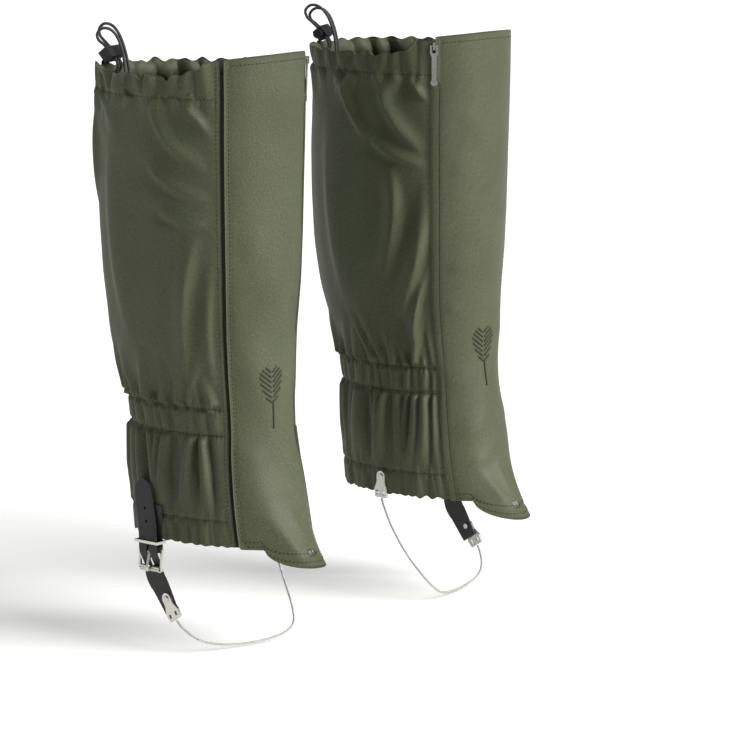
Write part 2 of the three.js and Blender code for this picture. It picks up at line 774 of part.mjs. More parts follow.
// The wire leaves the outer clip, runs under the boot's arch and climbs to the inner clip.
function stirrupRoute() {
  const start = clipFoot(outerClipFrame());
  const end = clipFoot(innerClipFrame());
  return [
    start,
    new THREE.Vector3(57.4, -29.4, -446.6),
    new THREE.Vector3(52, -35.6, -453.6),
    new THREE.Vector3(43, -41, -459.4),
    new THREE.Vector3(26, -46.6, -463.6),
    new THREE.Vector3(0, -53, -465.4),
    new THREE.Vector3(-26, -59, -463),
    new THREE.Vector3(-40, -60.6, -456.4),
    new THREE.Vector3(-47.6, -53.4, -445),
    new THREE.Vector3(-53.4, -40, -427),
    new THREE.Vector3(-57, -27.4, -406),
    new THREE.Vector3(-58.4, -19.6, -389),
    end,
  ];
}

function stirrupWire() {
  return cordTube(new THREE.CatmullRomCurve3(stirrupRoute()), WIRE_RADIUS, 36);
}

// ---- Lace hook under the tongue ----
function laceHookFrame() {
  const { z } = LACE_HOOK;
  const origin = facePoint(0, z);
  const down = facePoint(0, z - 4).sub(facePoint(0, z + 4)).normalize();
  const out = new THREE.Vector3(0, down.z, -down.y);
  return { origin, down, out };
}

// A flat strip with its foot turned in and up. x is across, y is out of the cloth, z is down the tongue.
function laceHook() {
  const { width, length, depth, lip, thickness } = LACE_HOOK;
  const back = -FRONT_FABRIC - GAP;
  const front = back - thickness;
  const low = length / 2;
  const strip = box(-width / 2, width / 2, front, back, -low, low);
  const foot = box(-2.5, 2.5, front - depth, back, low - thickness, low);
  const tip = box(-2.5, 2.5, front - depth, front - depth + thickness, low - lip, low);
  return joined(strip, foot, tip);
}

// ---- One gaiter ----
function gaiter(prefix, lockAngle) {
  const lock = lockPlacement(lockAngle);
  const group = new THREE.Group();
  const add = (name, geometry, finish) => {
    const mesh = namedMesh(`${prefix}_${name}`, geometry, finish);
    group.add(mesh);
    return mesh;
  };
  add("side_back_panel", sideBackPanel(lock), OLIVE);
  add("front_panel", frontPanel(), OLIVE);
  add("outer_band", outerBand(), DARK_OLIVE);
  const { top, bottom, thickness } = ANKLE_BAND;
  add("ankle_elastic", elasticStrip(top, bottom, FABRIC + GAP, thickness), BLACK_TAPE);
  const hemStrip = elasticStrip(HEM + 17, HEM + 3, FABRIC + GAP, 1);
  add("hem_elastic", cutBy(hemStrip, innerRivetHole()), BLACK_TAPE);

  add("zip_half_side", zipHalf(-1), BLACK_TAPE);
  add("zip_half_front", zipHalf(1), BLACK_TAPE);
  const bottomBox = zipBottomBox();
  bottomBox.name = `${prefix}_zip_bottom_box`;
  group.add(bottomBox);
  const seam = sliderFrame();
  stand(add("zip_slider", zipSlider(), NICKEL), seam);
  const hinge = seam.origin.clone().addScaledVector(seam.y, SLIDER.lugHole);
  stand(add("zip_pull", zipPull(), NICKEL), { origin: hinge, x: seam.x, y: seam.up });

  add("drawcord", drawcord(lock), BLACK_CORD);
  const lockStand = lockFrame(lock);
  stand(add("cord_lock_body", cordLockBody(), BLACK_PLASTIC), lockStand);
  stand(add("cord_lock_button", cordLockButton(), BLACK_PLASTIC), lockStand);
  stand(add("cord_lock_spring", lockSpring(), STEEL), lockStand);

  const hook = laceHookFrame();
  stand(add("lace_hook", laceHook(), NICKEL), { origin: hook.origin, x: new THREE.Vector3(1, 0, 0), y: hook.out });

  add("buckle_tab", buckleTab(), BLACK_STRAP);
  group.add(buckleFrame(prefix));
  add("buckle_prong", prong(), NICKEL);
  add("buckle_roller", roller(), NICKEL).position.copy(ROLLER_BAR);
  add("strap_keeper", keeper(), NICKEL).position.set(60.1, 2.9, -379.8);
  add("adjusting_strap", adjustingStrap(), BLACK_STRAP);
  const outerClip = outerClipFrame();
  const innerClip = innerClipFrame();
  stand(add("outer_clip", clipPlate(), NICKEL), outerClip);
  group.add(rivetInClip(`${prefix}_outer_clip_rivet`, outerClip, CLIP.thickness / 2 + 2.4));
  add("stirrup_wire", stirrupWire(), STEEL);
  stand(add("inner_clip", clipPlate(), NICKEL), innerClip);
  group.add(rivetInClip(`${prefix}_inner_clip_rivet`, innerClip, CLIP.thickness / 2 + GAP + 4.9));
  return group;
}

const pair = new THREE.Group();
const left = gaiter("left", degrees(-159));
left.position.x = LEG_SPACING / 2;
const right = gaiter("right", degrees(166));
right.position.x = -LEG_SPACING / 2;
right.scale.x = -1;
pair.add(left, right);

export default pair;
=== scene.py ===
import math

import bmesh
import bpy
import numpy as np
from mathutils import Matrix, Vector


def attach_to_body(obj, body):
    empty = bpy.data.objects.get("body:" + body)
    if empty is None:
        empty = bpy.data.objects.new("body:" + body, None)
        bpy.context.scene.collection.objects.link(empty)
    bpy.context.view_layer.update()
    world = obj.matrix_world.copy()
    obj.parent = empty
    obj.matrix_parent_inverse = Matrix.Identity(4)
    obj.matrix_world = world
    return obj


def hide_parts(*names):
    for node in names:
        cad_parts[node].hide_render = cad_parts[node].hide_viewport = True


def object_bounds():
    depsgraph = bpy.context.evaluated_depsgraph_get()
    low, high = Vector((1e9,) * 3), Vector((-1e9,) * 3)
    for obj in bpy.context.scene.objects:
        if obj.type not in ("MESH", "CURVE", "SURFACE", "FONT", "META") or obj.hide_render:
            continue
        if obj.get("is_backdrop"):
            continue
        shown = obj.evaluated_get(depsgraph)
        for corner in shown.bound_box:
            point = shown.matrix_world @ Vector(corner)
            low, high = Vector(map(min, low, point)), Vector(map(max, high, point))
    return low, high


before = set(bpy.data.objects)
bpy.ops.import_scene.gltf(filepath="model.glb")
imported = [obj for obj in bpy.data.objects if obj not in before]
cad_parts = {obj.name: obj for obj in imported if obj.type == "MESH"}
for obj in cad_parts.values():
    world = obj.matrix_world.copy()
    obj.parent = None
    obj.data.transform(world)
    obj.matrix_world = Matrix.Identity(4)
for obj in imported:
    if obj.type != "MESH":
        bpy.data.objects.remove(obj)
CAD_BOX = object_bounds()
MM = 0.001
CLOTH_BODY = "gaiters"
LEG_OFFSET = 129.0

# ---- the frame's leg surface, in mm
# Everything is drawn for the left gaiter (+X outwards, -Y forwards) and mirrored for the right.
# Each section is its height, half depth, half width and how far it stands forward.
CAD_SECTIONS = np.array([
    (16, 88.8, 72, -1), (-200, 85.5, 64.5, -2), (-268, 74, 54, 7.5), (-290, 73.5, 53, 10),
    (-330, 78, 55.5, 13.5), (-377, 80, 56, 20), (-420, 82, 56, 26),
][::-1], float)
CLOTH_SECTIONS = np.array([
    (16, 88.6, 71.8, -1), (0, 88.4, 71.5, -1), (-20, 88.4, 71.2, -1), (-50, 89.2, 70.9, -2.2),
    (-90, 89.6, 69.5, -3.2), (-130, 89.0, 68.0, -3.2), (-170, 87.2, 65.9, -2.6), (-210, 82.9, 61.8, -1.2),
    (-240, 78.7, 57.7, 2.4), (-265, 74.4, 54.0, 7.2), (-285, 73.6, 53.1, 10), (-305, 75.6, 54.4, 10.9),
    (-330, 77.9, 55.5, 13.5), (-355, 79.0, 55.8, 17), (-380, 80, 56, 20.8), (-420, 84, 56, 28),
][::-1], float)
TONGUE_FLARE = 24.5
TONGUE_START = -340.0
TONGUE_END = -393.0
RIM = -3.0
RIM_AT_SEAM = 11.0
HEM = -377.0
CASING_STITCH = -19.5
ANKLE_ROWS = (-268.0, -289.0)
HEM_STITCH = -357.0
BAND_ANGLE = math.radians(4.6)


def rounded(value, exponent):
    return np.sign(value) * np.abs(value) ** (2 / exponent)


def smoothstep(x, low, high):
    t = np.clip((x - low) / (high - low), 0, 1)
    return t * t * (3 - 2 * t)


def section_values(z, table):
    return [np.interp(z, table[:, 0], table[:, k]) for k in (1, 2, 3)]


def smoothing_kernel(reach):
    kernel = np.exp(-np.linspace(-2, 2, 2 * reach + 1) ** 2)
    return kernel / kernel.sum()


def smooth_table(rows):
    step, reach = 2.0, 7
    z = np.arange(rows[0, 0], rows[-1, 0] + step, step)
    kernel = smoothing_kernel(reach)
    out = [z]
    for k in (1, 2, 3):
        raw = np.interp(z, rows[:, 0], rows[:, k])
        out.append(np.convolve(np.pad(raw, reach, mode="edge"), kernel, mode="valid"))
    return np.stack(out, axis=1)


CAD_FORM = (CAD_SECTIONS, 2.2)
CLOTH_FORM = (smooth_table(CLOTH_SECTIONS), 2.15)


def tongue_flare(x, z):
    below = np.clip((TONGUE_START - z) / (TONGUE_START - TONGUE_END), 0, 1.2)
    across = np.cos(np.clip(x / 48, -1, 1) * np.pi / 2) ** 2
    return TONGUE_FLARE * below ** 1.6 * across


def leg_point(angle, z, form):
    """Points of a form, a table of sections and a squareness, at angles from the front and heights."""
    table, exponent = form
    depth, width, forward = section_values(z, table)
    x = width * rounded(np.sin(angle), exponent)
    y = -forward - depth * rounded(np.cos(angle), exponent)
    y = y - np.where(np.cos(angle) > 0, tongue_flare(x, z), 0)
    return np.stack([x, y, np.broadcast_to(z, x.shape)], axis=-1)


def leg_normal(angle, z, form):
    step = 0.01
    along = leg_point(angle + step, z, form) - leg_point(angle - step, z, form)
    normal = np.stack([along[..., 1], -along[..., 0], np.zeros_like(along[..., 0])], axis=-1)
    return normal / np.linalg.norm(normal, axis=-1, keepdims=True)


def cad_inset(angle, z, inset):
    angle, z = np.asarray(angle, float), np.asarray(z, float)
    return leg_point(angle, z, CAD_FORM) - inset * leg_normal(angle, z, CAD_FORM)


def outer_seam(z):
    return np.radians(38 + 7 * smoothstep(-z, 200, 377))


def inner_seam(z):
    return np.radians(-42 - 3 * smoothstep(-z, 240, 377))


def running_length(points):
    """Length from the first point to each point of a line."""
    return np.concatenate([[0], np.cumsum(np.linalg.norm(np.diff(points, axis=0), axis=1))])


def to_world(points, side):
    """Left-gaiter millimetres to the row frame in metres."""
    points = np.asarray(points, float).copy()
    points[..., 0] = side * (points[..., 0] + LEG_OFFSET)
    return points * MM


# ---- objects, meshes and node trees
def new_object(name, data):
    item = bpy.data.objects.new(name, data)
    bpy.context.collection.objects.link(item)
    return item


def shade_smooth(mesh):
    mesh.polygons.foreach_set("use_smooth", np.ones(len(mesh.polygons), bool))


def mesh_object(name, points, faces, side, *materials):
    """A piece from the left gaiter's points in mm and its faces, mirrored for the right gaiter."""
    mesh = bpy.data.meshes.new(name)
    faces = faces if side > 0 else [face[::-1] for face in faces]
    mesh.from_pydata(to_world(points, side).tolist(), [], faces)
    shade_smooth(mesh)
    for material in materials:
        mesh.materials.append(material)
    return new_object(name, mesh)


class Graph:
    """A node tree, with one short method for each kind of node that the materials use."""

    def __init__(self, tree):
        self.nodes, self.links = tree.nodes, tree.links

    def put(self, socket, value):
        if isinstance(value, bpy.types.NodeSocket):
            self.links.new(value, socket)
        else:
            socket.default_value = value

    def fill(self, node, **inputs):
        for name, value in inputs.items():
            self.put(node.inputs[name.replace("_", " ")], value)

    def node(self, kind, **inputs):
        node = self.nodes.new("ShaderNode" + kind)
        self.fill(node, **inputs)
        return node

    def calc(self, operation, *values):
        node = self.nodes.new("ShaderNodeMath")
        node.operation = operation
        for socket, value in zip(node.inputs, values):
            self.put(socket, value)
        return node.outputs[0]

    def noise(self, vector, scale, detail=4):
        node = self.node("TexNoise", Vector=vector, Scale=scale, Detail=detail, Roughness=0.55)
        return node.outputs["Fac"]

    def ramp(self, factor, stops):
        node = self.node("ValToRGB", Fac=factor)
        elements = node.color_ramp.elements
        while len(elements) < len(stops):
            elements.new(0.5)
        for element, (place, colour) in zip(elements, stops):
            element.position = place
            element.color = (*colour, 1)
        return node.outputs["Color"]

    def bump(self, height, strength, distance, **normal):
        node = self.node("Bump", Height=height, Strength=strength, Distance=distance, **normal)
        return node.outputs["Normal"]

    def stripe(self, coordinate, period):
        """A rounded ridge repeated every period, from 0 to 1."""
        wave = self.calc("SINE", self.calc("MULTIPLY", coordinate, 2 * math.pi / period))
        return self.calc("MULTIPLY_ADD", wave, 0.5, 0.5)

    def for_camera(self, strength, rest=0.0):
        """A brightness that the picture shows, with only its rest lighting the object."""
        seen = self.node("LightPath").outputs["Is Camera Ray"]
        return self.calc("MULTIPLY_ADD", seen, strength, rest)


# ---- camera, floor and light
CAMERA_AZIMUTH, CAMERA_ELEVATION = math.radians(-48.5), math.radians(9.8)
CAMERA_DISTANCE, CAMERA_LENS, CAMERA_SENSOR = 3.40, 203.2, 36
CAMERA_RIGHT, CAMERA_UP = 0.0462, -0.2572
FLOOR_HALF = 16.0
FLOOR_GAP = 0.002
FLOOR_LIFT = 0.27
WORLD_SEEN, WORLD_LIGHT = 0.87, 0.18
# Each sun's direction, strength, width in degrees and colour.
SUNS = {
    "key": ((0.34, -1, 0.64), 4.65, 44, (1, 0.99, 0.96)),
    "side": ((-0.46, 0.9, 0.5), 0.32, 44, (0.97, 0.98, 1)),
}


def make_camera():
    back = Vector((
        math.sin(CAMERA_AZIMUTH) * math.cos(CAMERA_ELEVATION),
        -math.cos(CAMERA_AZIMUTH) * math.cos(CAMERA_ELEVATION),
        math.sin(CAMERA_ELEVATION),
    ))
    right = Vector((math.cos(CAMERA_AZIMUTH), math.sin(CAMERA_AZIMUTH), 0))
    up = back.cross(right)
    data = bpy.data.cameras.new("camera")
    data.sensor_width = CAMERA_SENSOR
    data.lens = CAMERA_LENS
    data.clip_end = 20
    camera = new_object("camera", data)
    rotation = Matrix((right, up, back)).transposed().to_4x4()
    place = back * CAMERA_DISTANCE + right * CAMERA_RIGHT + up * CAMERA_UP
    camera.matrix_world = Matrix.Translation(place) @ rotation
    bpy.context.scene.camera = camera


def soft_sun(name, direction, strength, spread, colour):
    data = bpy.data.lights.new(name, "SUN")
    data.energy = strength
    data.angle = math.radians(spread)
    data.color = colour
    new_object(name, data).rotation_euler = Vector(direction).to_track_quat("Z", "Y").to_euler()


def make_floor(height):
    bm = bmesh.new()
    bmesh.ops.create_grid(bm, x_segments=2, y_segments=2, size=FLOOR_HALF)
    mesh = bpy.data.meshes.new("floor")
    bm.to_mesh(mesh)
    bm.free()
    floor = new_object("floor", mesh)
    floor.location = (0, 0, height)
    material, graph, shader = new_material("floor_paper")
    graph.fill(shader, Base_Color=(0.96, 0.96, 0.955, 1), Roughness=0.9, Emission_Color=(1, 1, 0.99, 1),
               Emission_Strength=graph.for_camera(FLOOR_LIFT))
    mesh.materials.append(material)
    floor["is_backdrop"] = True


def make_light():
    world = bpy.data.worlds.new("studio")
    bpy.context.scene.world = world
    world.use_nodes = True
    graph = Graph(world.node_tree)
    graph.fill(graph.nodes["Background"], Color=(0.96, 0.98, 1, 1),
               Strength=graph.for_camera(WORLD_SEEN, WORLD_LIGHT))
    for name, values in SUNS.items():
        soft_sun(name, *values)
    bpy.context.scene.view_settings.view_transform = "Standard"
    bpy.context.scene.view_settings.look = "None"


# ---- materials
def new_material(name):
    material = bpy.data.materials.new(name)
    material.use_nodes = True
    graph = Graph(material.node_tree)
    return material, graph, graph.nodes["Principled BSDF"]


def woven_material(name, colours, thread, roughness, sheen, ridge=0.3):
    """Twill: uneven threads with a faint diagonal rib, over slow changes of shade. UVs are in metres."""
    material, graph, shader = new_material(name)
    uv = graph.node("UVMap")
    uv.uv_map = "flat"
    place = graph.node("TexCoord").outputs["Object"]
    split = graph.node("SeparateXYZ", Vector=uv.outputs["UV"])
    wander = thread * 1.6
    across = graph.calc("MULTIPLY_ADD", graph.noise(place, 260, 3), wander, split.outputs[0])
    up = graph.calc("MULTIPLY_ADD", graph.noise(place, 190, 3), wander, split.outputs[1])
    diagonal = graph.calc("ADD", across, up)
    steep = graph.calc("SUBTRACT", across, up)
    threads = graph.node("CombineXYZ", X=graph.calc("DIVIDE", diagonal, thread),
                         Y=graph.calc("DIVIDE", steep, thread * 3.2))
    uneven = graph.noise(threads.outputs[0], 1.0, 2)
    cloth = graph.calc("MULTIPLY_ADD", graph.stripe(diagonal, thread * 1.4), 0.2, uneven)
    shade = graph.calc("MULTIPLY", graph.noise(place, 14, 3), 0.32)
    slub = graph.noise(place, 420, 3)
    mixed = graph.calc("MULTIPLY_ADD", cloth, 0.85, graph.calc("MULTIPLY_ADD", slub, 0.14, shade))
    coarse = graph.bump(graph.noise(place, 70, 2), 0.06, 0.0012)
    graph.fill(
        shader, Base_Color=graph.ramp(mixed, list(zip((0.43, 0.74, 1.0), colours))),
        Roughness=graph.calc("MULTIPLY_ADD", slub, 0.16, roughness - 0.08),
        Sheen_Weight=sheen, Sheen_Roughness=0.45, Specular_IOR_Level=0.36,
        Normal=graph.bump(cloth, ridge, thread * 0.35, Normal=coarse),
    )
    return material


def grained_material(name, colours, roughness, grain_scale, bump, metallic=0.0, specular=0.5):
    """Moulded plastic, coated strap, thread or metal, with a fine grain in colour, gloss and height."""
    material, graph, shader = new_material(name)
    place = graph.node("TexCoord").outputs["Object"]
    grain = graph.noise(place, grain_scale, 5)
    broad = graph.noise(place, grain_scale * 0.06, 3)
    mixed = graph.calc("MULTIPLY_ADD", grain, 0.5, graph.calc("MULTIPLY", broad, 0.5))
    graph.fill(
        shader, Base_Color=graph.ramp(mixed, list(zip((0.3, 0.7), colours))),
        Roughness=graph.calc("MULTIPLY_ADD", broad, 0.25, roughness - 0.12),
        Metallic=metallic, Specular_IOR_Level=specular, Normal=graph.bump(grain, bump, 0.0004),
    )
    return material


def cable_material(name, colour, period, **finish):
    """Fine strands laid at a slant, for the wire and the braided cord, with painted shade darkening the
    grooves between the strands. Uses the object's own position.
    """
    material, graph, shader = new_material(name)
    place = graph.node("TexCoord").outputs["Object"]
    x, y, z = graph.node("SeparateXYZ", Vector=place).outputs
    mixed = graph.calc("ADD", x, y)
    one = graph.stripe(graph.calc("ADD", mixed, z), period)
    two = graph.stripe(graph.calc("SUBTRACT", mixed, z), period)
    strands = graph.calc("MAXIMUM", one, two)
    # Painted shade: the grooves between the strands are coloured darker, down to 0.45 of the strand colour.
    dark = tuple(0.45 * c for c in colour)
    graph.fill(
        shader, Base_Color=graph.ramp(strands, [(0.2, dark), (0.8, colour)]),
        Roughness=graph.calc("MULTIPLY_ADD", graph.noise(place, 900), 0.3, 0.5),
        Normal=graph.bump(strands, 0.6, 0.0004), **finish,
    )
    return material


OLIVE = [(0.04, 0.046, 0.023), (0.068, 0.077, 0.04), (0.108, 0.12, 0.068)]
COATED_OLIVE = [tuple(0.85 * c for c in colour) for colour in OLIVE]
DARK_OLIVE = [(0.02, 0.022, 0.013), (0.034, 0.038, 0.022), (0.055, 0.06, 0.038)]
MATERIALS = {
    "olive": woven_material("olive_twill", OLIVE, 0.0011, 0.57, 0.04, 0.24),
    "lining": woven_material("coated_inside", COATED_OLIVE, 0.00055, 0.6, 0.1),
    "band": woven_material("dark_band", DARK_OLIVE, 0.0009, 0.85, 0.15),
    "thread": grained_material(
        "olive_thread", [(0.02, 0.023, 0.012), (0.055, 0.061, 0.035)], 0.6, 2500, 0.3, specular=0.3),
    "emblem": grained_material(
        "dark_olive_thread", [(0.03, 0.034, 0.017), (0.062, 0.07, 0.037)], 0.5, 2500, 0.5, specular=0.4),
    "tape": grained_material(
        "black_tape", [(0.012, 0.012, 0.012), (0.03, 0.03, 0.03)], 0.8, 3000, 0.5, specular=0.25),
    "strap": grained_material(
        "charcoal_strap", [(0.02, 0.02, 0.021), (0.04, 0.04, 0.041)], 0.45, 1800, 0.35, specular=0.4),
    "plastic": grained_material(
        "black_plastic", [(0.01, 0.01, 0.01), (0.022, 0.022, 0.023)], 0.42, 900, 0.12),
    "nickel": grained_material(
        "nickel_plate", [(0.66, 0.65, 0.6), (0.8, 0.79, 0.73)], 0.27, 700, 0.06, metallic=1.0),
    "gunmetal": grained_material(
        "dark_zip_metal", [(0.2, 0.196, 0.178), (0.4, 0.39, 0.355)], 0.34, 900, 0.1, metallic=1.0),
    "wire": cable_material("steel_cable", (0.62, 0.62, 0.6), 0.0011, Metallic=0.85),
    "cord": cable_material("braided_cord", (0.05, 0.05, 0.055), 0.0016, Sheen_Weight=0.3),
}


# ---- cords
CORD_DIAMETER = 2.5
LOCK_INSET = 6.0
LAP_ANGLE = 1.8 / 71.4
CORD_DEPTH = 8
CORD_BEHIND = 2.5
CASING_SQUEEZE = 0.87
LOCK_ANGLES = {1: math.radians(-159), -1: math.radians(166)}
# The loop's middle line as (outward, height) from the lock, the strands' half spacing along it, and how
# far one strand nests over the other.
CORD_LINE = [
    (-0.6, -10), (-4, -9), (-6, -5.5), (-5.4, -1.5), (-3.2, 1.7), (0, 5.5), (3.2, 9.3), (8, 13.6),
    (12.6, 17.6), (13.6, 23), (8.6, 27.4), (1.4, 26.4), (-4.6, 20.6), (-8.8, 11.5), (-11.6, 1),
    (-13.2, -10), (-13.8, -21),
]
CORD_SPREAD = [2.6, 2.6, 2.6, 2.6, 2.6, 2.6, 2.6, 2.7, 3, 3.2, 3.2, 3, 2.6, 2.4, 2.6, 3.4, 4.8]
CORD_NEST = [0, 0, 0, 0, 0, 0, 0, 0.4, 1.2, 1.6, 1.6, 1.4, 0.8, 0.3, 0, 0, 0]
# The turn under the lock, as (height, sideways).
CORD_TURN = [(-25.2, -5), (-27.8, -3.3), (-28.8, 0), (-27.8, 3.3), (-25.2, 5)]


def rim_height(share):
    from_seam = np.minimum(share, 1 - share)
    return RIM + (RIM_AT_SEAM - RIM) * (1 - smoothstep(from_seam, 0, 0.1))


def cord_points(side, cloth):
    """The drawcord's route: casing, lock, loop over the rim, lock, casing."""
    angle = LOCK_ANGLES[side]
    origin = cad_inset(angle, 0.0, LOCK_INSET)
    out = leg_normal(np.float64(angle), np.float64(0), CAD_FORM)
    along = np.array([-out[1], out[0], 0])

    def place(outward, height, sideways):
        point = origin + outward * out + sideways * along
        point[2] = height
        return point

    first = outer_seam(0.0) + BAND_ANGLE
    last = 2 * np.pi + inner_seam(0.0) - LAP_ANGLE

    def casing(start, end):
        count = round((end - start) / math.radians(9))
        for i in range(count + 1):
            a = start + (end - start) * i / count
            yield cloth.inside_casing(a, rim_height((a - first) / (last - first)) - CORD_DEPTH)

    def strand(sign):
        rows = zip(CORD_LINE, CORD_SPREAD, CORD_NEST)
        return [place(o + sign * n * 0.6, u + sign * n, sign * s) for (o, u), s, n in rows]

    leave = angle if angle > 0 else angle + 2 * np.pi
    step = math.radians(6)
    bend = [place(-14, height, sideways) for height, sideways in CORD_TURN]
    return np.array([
        *casing(first + math.radians(5), leave - step), place(LOCK_INSET - 3.4, -10.4, -5),
        *strand(-1), *bend, *strand(1)[::-1],
        place(LOCK_INSET - 3.4, -10.4, 5), *casing(leave + step, last - math.radians(28.5)),
    ])


def spline_curve(name, points, radius, material):
    """A tube on a smooth curve through the points, in metres."""
    data = bpy.data.curves.new(name, "CURVE")
    data.dimensions = "3D"
    data.bevel_depth = radius
    data.bevel_resolution = 3
    data.use_fill_caps = True
    spline = data.splines.new("POLY")
    spline.points.add(len(points) - 1)
    for target, point in zip(spline.points, points):
        target.co = (*point, 1)
    data.materials.append(material)
    return new_object(name, data)


def smooth_line(points, per_span):
    """Catmull-Rom through the points."""
    points = np.asarray(points, float)
    padded = np.vstack([2 * points[0] - points[1], points, 2 * points[-1] - points[-2]])
    out = []
    for i in range(1, len(padded) - 2):
        a, b, c, d = padded[i - 1:i + 3]
        bend, twist = 2 * a - 5 * b + 4 * c - d, 3 * b - a - 3 * c + d
        for t in np.arange(per_span) / per_span:
            out.append(0.5 * (2 * b + (c - a) * t + bend * t**2 + twist * t**3))
    out.append(points[-1])
    return np.array(out)


def make_cord(side, name, cloth):
    points = to_world(smooth_line(cord_points(side, cloth), 5), side)
    piece = spline_curve(f"{name}_drawcord_braid", points, CORD_DIAMETER / 2 * MM, MATERIALS["cord"])
    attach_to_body(piece, CLOTH_BODY)
    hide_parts(f"{name}_drawcord")
    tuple(points[0])


WIRE_DIAMETER = 1.8
OUTER_CLIP_FOOT = (59.2, -25.02, -441.05)
INNER_CLIP_ANGLE = math.radians(-91.7)
STIRRUP_LINE = [
    (57.4, -29.4, -446.6), (52, -35.6, -453.6), (43, -41, -459.4), (26, -46.6, -463.6), (0, -53, -465.4),
    (-26, -59, -463), (-40, -60.6, -456.4), (-47.6, -53.4, -445), (-53.4, -40, -427), (-57, -27.4, -406),
    (-58.4, -19.6, -389),
]


def make_stirrup(side, name):
    """The steel cable from the outer clip's foot, under the sole and up to the inner clip's foot."""
    inner_foot = cad_inset(INNER_CLIP_ANGLE, -370.5, -1.5)
    inner_foot[2] = -382.4
    points = to_world(smooth_line([OUTER_CLIP_FOOT, *STIRRUP_LINE, inner_foot], 8), side)
    piece = spline_curve(f"{name}_stirrup_cable", points, WIRE_DIAMETER / 2 * MM, MATERIALS["wire"])
    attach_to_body(piece, f"{name}_stirrup")
    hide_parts(f"{name}_stirrup_wire")
    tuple(points[0])


# ---- the cloth's grid
FRONT_COLUMNS = 80
BAND_COLUMNS = 4
SIDE_COLUMNS = 380
CLOTH_ROUND = 400
ROW_LEVELS = np.unique(np.concatenate([
    np.linspace(HEM, HEM_STITCH, 20), np.linspace(HEM_STITCH, ANKLE_ROWS[1], 62),
    np.linspace(ANKLE_ROWS[1], ANKLE_ROWS[0], 22), np.linspace(ANKLE_ROWS[0], CASING_STITCH, 190),
    np.linspace(CASING_STITCH, RIM, 18),
]).round(4))


def fine_rows(level):
    """Row number of a height."""
    return np.interp(level, ROW_LEVELS, np.arange(len(ROW_LEVELS)))


def front_edges(share):
    """Top and bottom height of the front panel, across from its inner to its outer edge."""
    across = 2 * share - 1
    top = 12 + 3 * (1 - across**2)
    tongue = np.sqrt(1 - np.clip(np.abs(across * 46) / 31, 0, 1) ** 2.6)
    return top, HEM - 1.5 - 14 * tongue


def column_height(level, top, bottom):
    above = CASING_STITCH + (level - CASING_STITCH) * (top - CASING_STITCH) / (RIM - CASING_STITCH)
    below = HEM_STITCH + (level - HEM_STITCH) * (bottom - HEM_STITCH) / (HEM - HEM_STITCH)
    return np.where(level > CASING_STITCH, above, np.where(level < HEM_STITCH, below, level))


def even_angles(z, first, last, count):
    """Angles that divide the cloth's arc from first to last into equal lengths, at height z."""
    fine = np.linspace(first, last, 400)
    points = leg_point(fine, np.full(400, z), CLOTH_FORM)
    run = running_length(points)
    return np.interp(np.linspace(0, run[-1], count), run, fine)


def waves(s, wavelength, rng):
    """Irregular ripples along s, about 1 high."""
    total = np.zeros_like(s)
    parts, spread = 5, 0.35
    for _ in range(parts):
        length = wavelength * (1 + spread * rng.uniform(-1, 1.3))
        total += np.cos(2 * np.pi * s / length + rng.uniform(0, 2 * np.pi))
    return total / math.sqrt(parts / 2)


def crown(offset):
    """A fold's cross-section: a round top that meets its neighbours in a crease."""
    return np.clip(1 - (offset / 1.55) ** 2, 0, 1) ** 0.9


def ridge(s, z, start, end, widths, height, grow=0.12, fall=1.3, crease=True):
    """A rounded fold from start to end, narrow where it leaves its gather and dying out at the far end."""
    ds, dz = end[0] - start[0], end[1] - start[1]
    length = math.hypot(ds, dz)
    along = ((s - start[0]) * ds + (z - start[1]) * dz) / length**2
    off = np.abs((s - start[0]) * dz - (z - start[1]) * ds) / length
    width = widths[0] + (widths[1] - widths[0]) * np.clip(along, 0, 1)
    softness = smoothstep(along, 0.0, 0.55) if crease else 1.0
    profile = crown(off / width) * (1 - softness) + np.exp(-(off / width) ** 2) * softness
    rise = smoothstep(along, -0.02, grow)
    return height * profile * rise * np.clip(1 - along, 0, 1) ** fall


def drape(s, z, path, width, height):
    """A slack fold along a bent path, steeper on its lower side and dying out at both ends."""
    share = np.linspace(0, 1, 9)[:, None]
    first, middle, last = np.array(path, float)
    line = (1 - share) ** 2 * first + 2 * share * (1 - share) * middle + share**2 * last
    way = np.sign(last[0] - first[0])
    shape = np.broadcast(s, z).shape
    nearest, along, under = np.full(shape, np.inf), np.zeros(shape), np.zeros(shape, bool)
    for i, (here, there) in enumerate(zip(line, line[1:])):
        step = there - here
        t = np.clip(((s - here[0]) * step[0] + (z - here[1]) * step[1]) / (step @ step), 0, 1)
        ds, dz = s - here[0] - t * step[0], z - here[1] - t * step[1]
        closer = np.hypot(ds, dz) < nearest
        nearest = np.where(closer, np.hypot(ds, dz), nearest)
        along = np.where(closer, (i + t) / (len(line) - 1), along)
        under = np.where(closer, way * (dz * step[0] - ds * step[1]) < 0, under)
    reach = width * np.where(under, 0.5, 1.0)
    return height * np.exp(-(nearest / reach) ** 2) * np.sin(np.pi * along) ** 0.8


def unit_normals(around, upward):
    normal = np.cross(around, upward)
    return normal / np.maximum(np.linalg.norm(normal, axis=-1, keepdims=True), 1e-9)


def spaced(rng, low, high, first, last):
    """Places along the cloth, unevenly spaced, as gathers fall."""
    place = first + rng.uniform(0, low)
    while place < last:
        yield place
        place += rng.uniform(low, high)


def blur_across(grid, reach):
    kernel = smoothing_kernel(reach)
    padded = np.pad(grid, ((0, 0), (reach, reach)), mode="edge")
    return np.stack([np.convolve(row, kernel, mode="valid") for row in padded])


